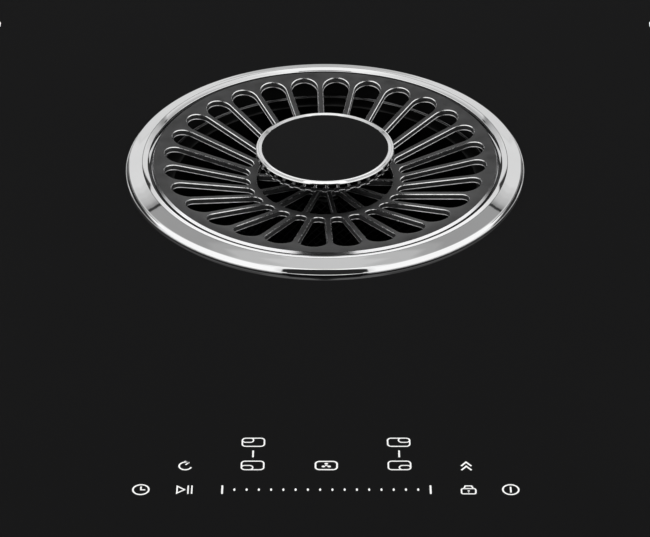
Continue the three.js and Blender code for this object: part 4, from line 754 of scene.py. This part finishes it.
# ---- trim ring, gasket and ring nut
# A turned and polished steel ring lies on the glass round the vent, on a flat rubber gasket. A
# black plastic ring nut pulls it down from below.
EDGE_X, EDGE_Z, EDGE_R, EDGE_FROM, EDGE_TURN, EDGE_STEPS = 97.55, 1.72, 1.5, 25, 48.6, 12
RING_STEPS, POLISHED_OVER = 256, 11
ring = [(90.8, -16), (90.8, 1.5), (98.1, 1.5), (98.1, 0.3), (99.9, 0.3), (99.98, 0.36)]
ring += [(99.97, 0.5), (99.92, 0.84), (99.88, 0.92), (99.67, 1.0), (99.5, 1.22), (99.48, 1.28)]
for i in range(EDGE_STEPS + 1):
    lean = math.radians(EDGE_FROM + EDGE_TURN * i / EDGE_STEPS)
    ring.append((EDGE_X + EDGE_R * math.cos(lean), EDGE_Z + EDGE_R * math.sin(lean)))
ring += [(96.9, 3.46), (95.0, 4.09), (93.4, 4.63), (91.7, 5.1), (91.48, 5.1), (89.3, 4.64)]
ring += [(88.95, 4.54), (88.75, 4.34), (88.7, 4.1), (88.7, 1.4), (85.4, 1.4), (85.2, 1.2)]
ring += [(85.2, -0.2), (85.4, -0.4), (88.4, -0.4), (88.4, -15.8), (88.6, -16)]
STEEL = (0.86, 0.862, 0.865)
polished, tree, surface = shader("polished_steel", STEEL, 0.1, 1.0)
slow, fine = grain(tree, 30, detail=4), grain(tree, 0.5, detail=2)
tree.links.new(tint(tree, slow, STEEL, 0.02), surface.inputs["Base Color"])
tree.links.new(spread(tree, slow, 0.02, 0.04), surface.inputs["Roughness"])
relief(tree, surface, fine, 0.0005)
ring_shape = round_vent(ring, RING_STEPS)
piece("trim_ring_turned", ring_shape, polished, "hob", ["trim_ring"], POLISHED_OVER)
rubber = grained("black_rubber", (0.016, 0.016, 0.016), (0.6, 0.75), 0.6, 0.02)
dress(["trim_gasket"], rubber, 0.2)
dress(["trim_ring_nut"], black_plastic, 0.3)

# ---- vent grille
# A dished black grille cast in one: a flat rim, 28 straight ribs with round-ended slots between
# them, a thin ring inside, 14 short ribs and a hub. It is coated in fine satin black. Bright metal
# on the broken edges of the slots, on the ledge low in each slot wall and on the rim's upper edge
# is painted highlight, where the satin coating catches the light.
SLOTS, TURN = 28, -4.5
TIP_R, ROOT_R, RIB = 81, 38.1, 2.8
RIM_R, RIM_Z, THICK, DISH_R, SLOPE = 81.8, 4.9, 3.2, 37.3, 0.2525
RING_R, WINDOW_RIB, FILLET = 34.4, 2.2, 1.6
HUB_R, HUB_Z, HUB_LOW, NECK_R, BORE_R = 13, -6.9, -12.1, 12, 4.4
BREAK_TOP, BREAK_LOW, SEAM = 0.29, 0.3, 0.22
TOP_EDGE_R, LOW_EDGE_R, LOW_EDGE_Z = 86.1, 87.88, 1.7
RIM_STEPS, NECK_STEPS, BORE_STEPS = 224, 84, 32


def slot_outline(grow):
    half = math.pi / SLOTS
    spread_by = math.sin(half)
    tip_at, root_at = (TIP_R + RIB / 2) / (1 + spread_by), (ROOT_R - RIB / 2) / (1 - spread_by)
    tip, root = TIP_R - tip_at + grow, root_at - ROOT_R + grow
    touch = math.degrees(math.pi / 2 + half)
    return arc(tip_at, 0, tip, -touch, touch, 28) + arc(root_at, 0, root, touch, 360 - touch, 14)


def window_outline(grow):
    """The window between two inner ribs, with rounded corners."""
    half = 2 * math.pi / SLOTS
    rib, outer, inner = WINDOW_RIB / 2 - grow, RING_R + grow, HUB_R - grow
    f = FILLET + grow

    def side(r):
        return half - math.asin(rib / r)

    def at(r, angle):
        return Vector((r * math.cos(angle), r * math.sin(angle)))

    def bend(start, corner, end, steps=6):
        for i in range(steps + 1):
            t = i / steps
            yield start * (1 - t) ** 2 + corner * 2 * t * (1 - t) + end * t * t

    points = []
    wide, reach, below = side(outer), side(outer) - f / outer, outer - f
    points += bend(at(below, -side(below)), at(outer, -wide), at(outer, -wide + f / outer))
    points += [at(outer, -reach + 2 * reach * i / 12) for i in range(1, 12)]
    points += bend(at(outer, reach), at(outer, wide), at(below, side(below)))
    wide, reach, above = side(inner), side(inner) - f / inner, inner + f
    points += bend(at(above, side(above)), at(inner, wide), at(inner, wide - f / inner))
    points += [at(inner, reach - 2 * reach * i / 4) for i in range(1, 4)]
    points += bend(at(inner, -reach), at(inner, -wide), at(above, -side(above)))
    return [tuple(p) for p in points]


def spun(outline, degrees):
    """The outline turned round the vent: 0 is in front, and degrees go to the right."""
    a = math.radians(degrees - 90)
    c, s = math.cos(a), math.sin(a)
    return [(x * c - y * s, x * s + y * c) for x, y in outline]


def openings(grow):
    outlines = []
    for i in range(SLOTS):
        outlines.append(spun(slot_outline(grow), TURN + i * 360 / SLOTS))
        if i % 2 == 0:
            outlines.append(spun(window_outline(grow), TURN + i * 360 / SLOTS))
    return outlines


def dish_top(r):
    dish_z = RIM_Z - (RIM_R - DISH_R) * SLOPE
    if r >= RIM_R:
        return RIM_Z
    if r >= DISH_R:
        return RIM_Z - (RIM_R - r) * SLOPE
    return HUB_Z + (dish_z - HUB_Z) * r / DISH_R


def dish_low(r):
    if r >= DISH_R:
        return dish_top(r) - THICK
    dish_z = dish_top(DISH_R) - THICK
    hub_z = HUB_Z - THICK
    if r >= HUB_R:
        return hub_z + (dish_z - hub_z) * (r - HUB_R) / (DISH_R - HUB_R)
    return HUB_LOW + (hub_z - HUB_LOW) * max(0, r - NECK_R)


def flat_skin(holes, rings, height):
    """The face of the dish between its openings, with points on the given rings."""
    outlines = holes + [[(x, y) for x, y, z in circle(r, 0, steps)] for r, steps in rings]
    points, edges = [], []
    for outline in outlines:
        start = len(points)
        points += [Vector(p) for p in outline]
        edges += [(start + i, start + (i + 1) % len(outline)) for i in range(len(outline))]
    done = delaunay_2d_cdt(points, edges, [], 0, 1e-7)
    corners, triangles = done[0], done[2]
    polar = []
    for outline in holes:
        mx = sum(x for x, y in outline) / len(outline)
        my = sum(y for x, y in outline) / len(outline)
        polar.append((mx, my, max(math.hypot(x - mx, y - my) for x, y in outline), outline))

    def in_hole(x, y):
        for mx, my, reach, outline in polar:
            if math.hypot(x - mx, y - my) >= reach:
                continue
            inside = False
            for i, (x1, y1) in enumerate(outline):
                x2, y2 = outline[i - 1]
                if (y1 > y) != (y2 > y) and x < (x2 - x1) * (y - y1) / (y2 - y1) + x1:
                    inside = not inside
            if inside:
                return True
        return False

    faces = []
    for triangle in triangles:
        spots = [corners[i] for i in triangle]
        x, y = sum(s.x for s in spots) / 3, sum(s.y for s in spots) / 3
        if not in_hole(x, y):
            faces.append(tuple(triangle))
    placed = [(c.x, c.y + VENT_Y, TOP_Z + height(math.hypot(c.x, c.y))) for c in corners]
    return placed, faces


def lifted(outline, height, shift=0.0):
    return [(x, y + VENT_Y, TOP_Z + height(math.hypot(x, y)) + shift) for x, y in outline]


def strip(lower, upper):
    points, faces = loft([lower, upper])
    return points, faces[:-2]


bore = [(x, y) for x, y, z in circle(BORE_R, 0, BORE_STEPS)]
bends = [(RIM_R, RIM_STEPS), (DISH_R, RIM_STEPS), (NECK_R, NECK_STEPS)]
top_skin = flat_skin(openings(BREAK_TOP) + [bore], [(TOP_EDGE_R, RIM_STEPS)] + bends, dish_top)
low_skin = flat_skin(openings(BREAK_LOW) + [bore], [(LOW_EDGE_R, RIM_STEPS)] + bends, dish_low)
# Each face's number is its place in grille_looks.
SKIN, EDGE, WALL, LIP, RIM_HIGHLIGHT = range(5)
shapes, marks = [top_skin, low_skin], [SKIN] * (len(top_skin[1]) + len(low_skin[1]))
for wide, true, seam, wide_low in zip(*map(openings, (BREAK_TOP, 0, -SEAM, BREAK_LOW))):
    upper_edge = lifted(true, dish_top, -BREAK_TOP)
    seam_top = lifted(true, dish_low, BREAK_LOW + 1.6 * SEAM)
    seam_edge = lifted(seam, dish_low, BREAK_LOW + 0.5 * SEAM)
    for low_loop, high_loop, mark in (
        (upper_edge, lifted(wide, dish_top), EDGE),
        (seam_top, upper_edge, WALL),
        (seam_edge, seam_top, LIP),
        (lifted(wide_low, dish_low), seam_edge, WALL),
    ):
        shapes.append(strip(low_loop, high_loop))
        marks += [mark] * len(wide)
rim = [(TOP_EDGE_R, RIM_Z), (87.1, 3.9), (87.15, 3.6), (87.25, 2.6), (88, 2.2), (88, 1.82)]
rim.append((LOW_EDGE_R, LOW_EDGE_Z))
for i, (upper, lower) in enumerate(zip(rim, rim[1:])):
    loops = [circle(r, TOP_Z + z, RIM_STEPS, 0, VENT_Y) for r, z in (lower, upper)]
    shapes.append(strip(*loops))
    marks += [RIM_HIGHLIGHT if i == 0 else SKIN] * RIM_STEPS
shapes.append(strip(lifted(bore, dish_low), lifted(bore, dish_top)))
marks += [SKIN] * BORE_STEPS

SATIN, CAST = (0.026, 0.026, 0.0265), (0.05, 0.05, 0.051)
satin, tree, surface = shader("satin_black_coating", SATIN, 0.42)
speck, cloud = grain(tree, 0.7, detail=4), grain(tree, 9, detail=5)
tree.links.new(tint(tree, cloud, SATIN, 0.5), surface.inputs["Base Color"])
tree.links.new(spread(tree, cloud, 0.36, 0.5), surface.inputs["Roughness"])
relief(tree, surface, speck, 0.035)
# Painted highlights: near-white metal on the broken edges of the slots and grey metal on the ledge
# low in each slot wall, where the satin black catches the light.
bright = grained(
    "painted_highlight_on_edges", (0.9, 0.9, 0.905), (0.2, 0.32), 1.5, 0.004, 0.25, 1.0, cloud=3
)
seam_highlight_look = grained(
    "painted_highlight_on_seam", (0.5, 0.5, 0.505), (0.28, 0.42), 1.5, 0.004, 0.4, 1.0, cloud=3
)
cast_wall, tree, surface = shader("cast_slot_wall", CAST, 0.5)
pits = grain(tree, 0.9, detail=4)
tree.links.new(tint(tree, pits, CAST, 0.4), surface.inputs["Base Color"])
tree.links.new(spread(tree, pits, 0.35, 0.6), surface.inputs["Roughness"])
relief(tree, surface, pits, 0.12)
# Painted highlight: bright metal on the rim's upper edge, where it catches the light.
rim_edge_highlight = grained("painted_highlight_on_rim", (0.84, 0.84, 0.85), (0.1, 0.18), 0.8, 0.002, 0.06, 1.0)
grille_looks = [satin, bright, cast_wall, seam_highlight_look, rim_edge_highlight]
piece("vent_grille", together(shapes), grille_looks, "vent_cover", ["grille"], 30, marks)

# ---- cover of the grille
# A black plastic base with a toothed grip edge on a short stem, screwed to the grille's hub. On it
# sits a polished steel bezel that frames a disc of the same black glass as the hob.
TEETH, TOOTH_R, TOOTH_DEPTH, TOOTH_Z0, TOOTH_Z1 = 36, 33.4, 0.9, 5.6, 8.2
STEM_STEPS, COVER_STEPS = 96, 192
tooth = [(-2.5, 1), (-2.1, 0.35), (-1.6, 0), (1.6, 0), (2.1, 0.35), (2.5, 1)]
skirt = []
for i in range(TEETH):
    for turn, depth in tooth:
        a = math.radians(i * 360 / TEETH + turn)
        r = TOOTH_R - depth * TOOTH_DEPTH
        skirt.append((r * math.cos(a), VENT_Y + r * math.sin(a)))


def shrunk(outline, share, z):
    return [(x * share, VENT_Y + (y - VENT_Y) * share, TOP_Z + z) for x, y in outline]


skirt_levels = [(0.72, TOOTH_Z0 - 0.4), (0.998, TOOTH_Z0), (1.006, TOOTH_Z0 + 0.15)]
skirt_levels += [(1.002, TOOTH_Z0 + 0.4), (0.993, TOOTH_Z0 + 0.6), (1, TOOTH_Z1 - 0.45)]
skirt_levels += [(0.985, TOOTH_Z1), (0.72, TOOTH_Z1)]
skirt_body = loft([shrunk(skirt, share, z) for share, z in skirt_levels])
stem = [(24.2, 5.4), (24, 4.6), (20.5, 3.2), (15, 1.2), (11.5, -0.4), (9.8, -2.2), (9, -4.2)]
stem += [(9, -6.3), (8.7, -6.6), (4.4, -6.6), (4.4, 4.4), (24, 5.4)]
cover_plastic = grained("black_cover_plastic", (0.02, 0.02, 0.021), (0.28, 0.4), 0.7, 0.012)
base = together([skirt_body, round_vent(stem, STEM_STEPS)])
# The skirt's lower lip, band 2, and upper edge, band 5, carry painted highlights in grey and
# near-white metal, where the plastic catches the light.
base_looks = [cover_plastic, bright, seam_highlight_look]
painted_highlight_bands = {2: base_looks.index(seam_highlight_look), 5: base_looks.index(bright)}
tooth_marks = [painted_highlight_bands.get(i // len(skirt), 0) for i in range(len(skirt_body[1]))]
tooth_marks += [0] * (len(base[1]) - len(tooth_marks))
piece("cover_base", base, base_looks, "vent_cover", ["cap_base"], 40, tooth_marks)

bezel = [(30.0, 8.5), (34.3, 8.5), (34.55, 8.65), (34.6, 8.9), (34.6, 10.3), (34.57, 10.6)]
bezel += [(34.48, 10.84), (34.36, 11.0), (34.2, 11.1), (33.4, 11.46), (33.32, 11.46)]
bezel += [(31.95, 11.17), (31.8, 11.1), (31.75, 11.0), (31.75, 9.0), (30.0, 9.0)]
bezel_shape = round_vent(bezel, COVER_STEPS)
piece("cover_bezel", bezel_shape, polished, "vent_cover", ["cap_bezel"], POLISHED_OVER)

disc = [(0.01, 9.3), (31.4, 9.3), (31.65, 9.5), (31.65, 10.75), (31.5, 10.9), (0.01, 10.9)]
cover_glass, tree, surface = shader("cover_glass", (0.0094, 0.0094, 0.0096), 0.06)
surface.inputs["IOR"].default_value = GLASS_IOR
tree.links.new(spread(tree, grain(tree, 25), 0.05, 0.09), surface.inputs["Roughness"])
relief(tree, surface, grain(tree, 20, detail=1), 0.003)
disc_shape = round_vent(disc, COVER_STEPS)
piece("cover_disc", disc_shape, cover_glass, "vent_cover", ["cap_glass"], 28)
dress(["cap_stud", "cap_nut"], brushed, 0.15)

# ---- floor, light and camera
# A plain pale floor, soft panels round the hob, which its glass and polished steel mirror, and
# one soft lamp above.
HALF_FLOOR, FLOOR_GREY = 3.0, (0.74, 0.74, 0.74)
h = HALF_FLOOR
floor_mesh = bpy.data.meshes.new("floor")
floor_mesh.from_pydata([(-h, -h, 0), (h, -h, 0), (h, h, 0), (-h, h, 0)], [], [(0, 1, 2, 3)])
floor_thing = bpy.data.objects.new("floor", floor_mesh)
scene.collection.objects.link(floor_thing)
floor_look, tree, surface = shader("pale_floor", FLOOR_GREY, 0.65)
tree.links.new(tint(tree, grain(tree, 60), FLOOR_GREY, 0.02), surface.inputs["Base Color"])
floor_mesh.materials.append(floor_look)

world = bpy.data.worlds.new("studio")
scene.world = world
world.use_nodes = True
tree = world.node_tree
sky = tree.nodes["Background"]
way = tree.nodes.new("ShaderNodeTexCoord")
split = tree.nodes.new("ShaderNodeSeparateXYZ")
tree.links.new(way.outputs["Generated"], split.inputs["Vector"])


def sum_of(operation, *values):
    """A maths node on numbers and other nodes' results."""
    node = tree.nodes.new("ShaderNodeMath")
    node.operation = operation
    for socket, value in zip(node.inputs, values):
        if isinstance(value, (int, float)):
            socket.default_value = value
        else:
            tree.links.new(value, socket)
    return node.outputs["Value"]


turn = sum_of("ARCTAN2", split.outputs["X"], split.outputs["Y"])
turn = sum_of("ABSOLUTE", sum_of("DEGREES", turn))
rise = sum_of("DEGREES", sum_of("ARCSINE", split.outputs["Z"]))


def between(value, low, high, soft):
    """1 from low to high and 0 outside, over a soft border."""
    into = spread(tree, value, 0.0, 1.0, low - soft / 2, low + soft / 2)
    out = spread(tree, value, 1.0, 0.0, high - soft / 2, high + soft / 2)
    return sum_of("MULTIPLY", into, out)


def panel(shade, brightness, turns, rises, soft):
    """A soft-edged panel. Turns count from the back to either side, and rises from level."""
    mask = sum_of("MULTIPLY", between(turn, *turns, soft), between(rise, *rises, soft))
    return sum_of("ADD", shade, sum_of("MULTIPLY", mask, sum_of("SUBTRACT", brightness, shade)))


SURROUND = 0.62
# Each panel's brightness, turns and rises in degrees, and the width of its soft border. Where two
# panels overlap, the later one lies in front.
CARD_STEPS = ((0.71, 32), (0.63, 34), (0.56, 35.8), (0.5, 37.2), (0.38, 38.2), (0.3, 38.7))
PANELS = [
    # overhead and the sides
    (1.3, (-9, 190), (74, 95), 2),
    (1.1, (68, 156), (-20, 64), 8),
    # the high grey card, darker towards the sides
    (0.78, (-9, 19), (39, 61), 1),
    (0.53, (14, 42), (38, 66), 2),
    (0.42, (17, 42), (38, 60), 2),
    (0.36, (19, 42), (38, 56), 2),
    # the pale card below it, darker towards its top
    (0.78, (-9, 36), (17, 39.7), 1),
    *[(brightness, (12, 36), (low, 39.7), 1) for brightness, low in CARD_STEPS],
    # the low cards
    (0.74, (-9, 36), (-20, 17), 3),
    (0.05, (30, 78), (3, 17), 2),
    (0.5, (-9, 3), (-20, 1), 2),
    # bright strips at the back
    (1.05, (-9, 9), (6, 18), 4),
    (1.05, (-9, 8), (47, 59), 4),
    # the dark gap between the cards, the dark card and the dark front
    (0.02, (15, 36), (39.4, 40.2), 0.2),
    (0.04, (-9, 9.7), (23, 43.5), 0.5),
    (0.02, (157, 190), (-20, 89), 1),
]
shade = sum_of("ADD", SURROUND, 0.0)
for brightness, turns, rises, soft in PANELS:
    shade = panel(shade, brightness, turns, rises, soft)
# The backdrop is one pale tone. The panels only light the hob and show in its steel.
BACKDROP = 0.7
seen = tree.nodes.new("ShaderNodeLightPath").outputs["Is Camera Ray"]
shade = sum_of("ADD", shade, sum_of("MULTIPLY", seen, sum_of("SUBTRACT", BACKDROP, shade)))
tree.links.new(shade, sky.inputs["Strength"])
sky.inputs["Color"].default_value = (1, 1, 1, 1)

# Polished parts don't mirror the lamp, so its outline shows nowhere.
LAMP_AT, LAMP_AIM, LAMP_W, LAMP_D, LAMP_POWER = (0, 0.32, 1.9), (0, 0.04, 0.2), 1.0, 0.5, 12
lamp = bpy.data.lights.new("key_light", "AREA")
lamp.shape = "RECTANGLE"
lamp.size, lamp.size_y, lamp.energy = LAMP_W, LAMP_D, LAMP_POWER
lamp_thing = bpy.data.objects.new("key_light", lamp)
lamp_thing.location = LAMP_AT
beam = Vector(LAMP_AIM) - Vector(LAMP_AT)
lamp_thing.rotation_euler = beam.to_track_quat("-Z", "Y").to_euler()
lamp_thing.visible_glossy = False
scene.collection.objects.link(lamp_thing)

# The camera stands in front of the vent and looks down by LOOK_DOWN degrees.
CAMERA_BACK, CAMERA_UP, LOOK_DOWN, LENS, SENSOR = 1249.32, 771.09, 33.69, 161.55, 36
lens = bpy.data.cameras.new("camera")
lens.sensor_width, lens.lens = SENSOR, LENS
view = bpy.data.objects.new("camera", lens)
view.location = (0, (VENT_Y - CAMERA_BACK) * MM, (TOP_Z + CAMERA_UP) * MM)
view.rotation_euler = (math.radians(90 - LOOK_DOWN), 0, 0)
scene.collection.objects.link(view)
scene.camera = view
scene.view_settings.view_transform = "Standard"
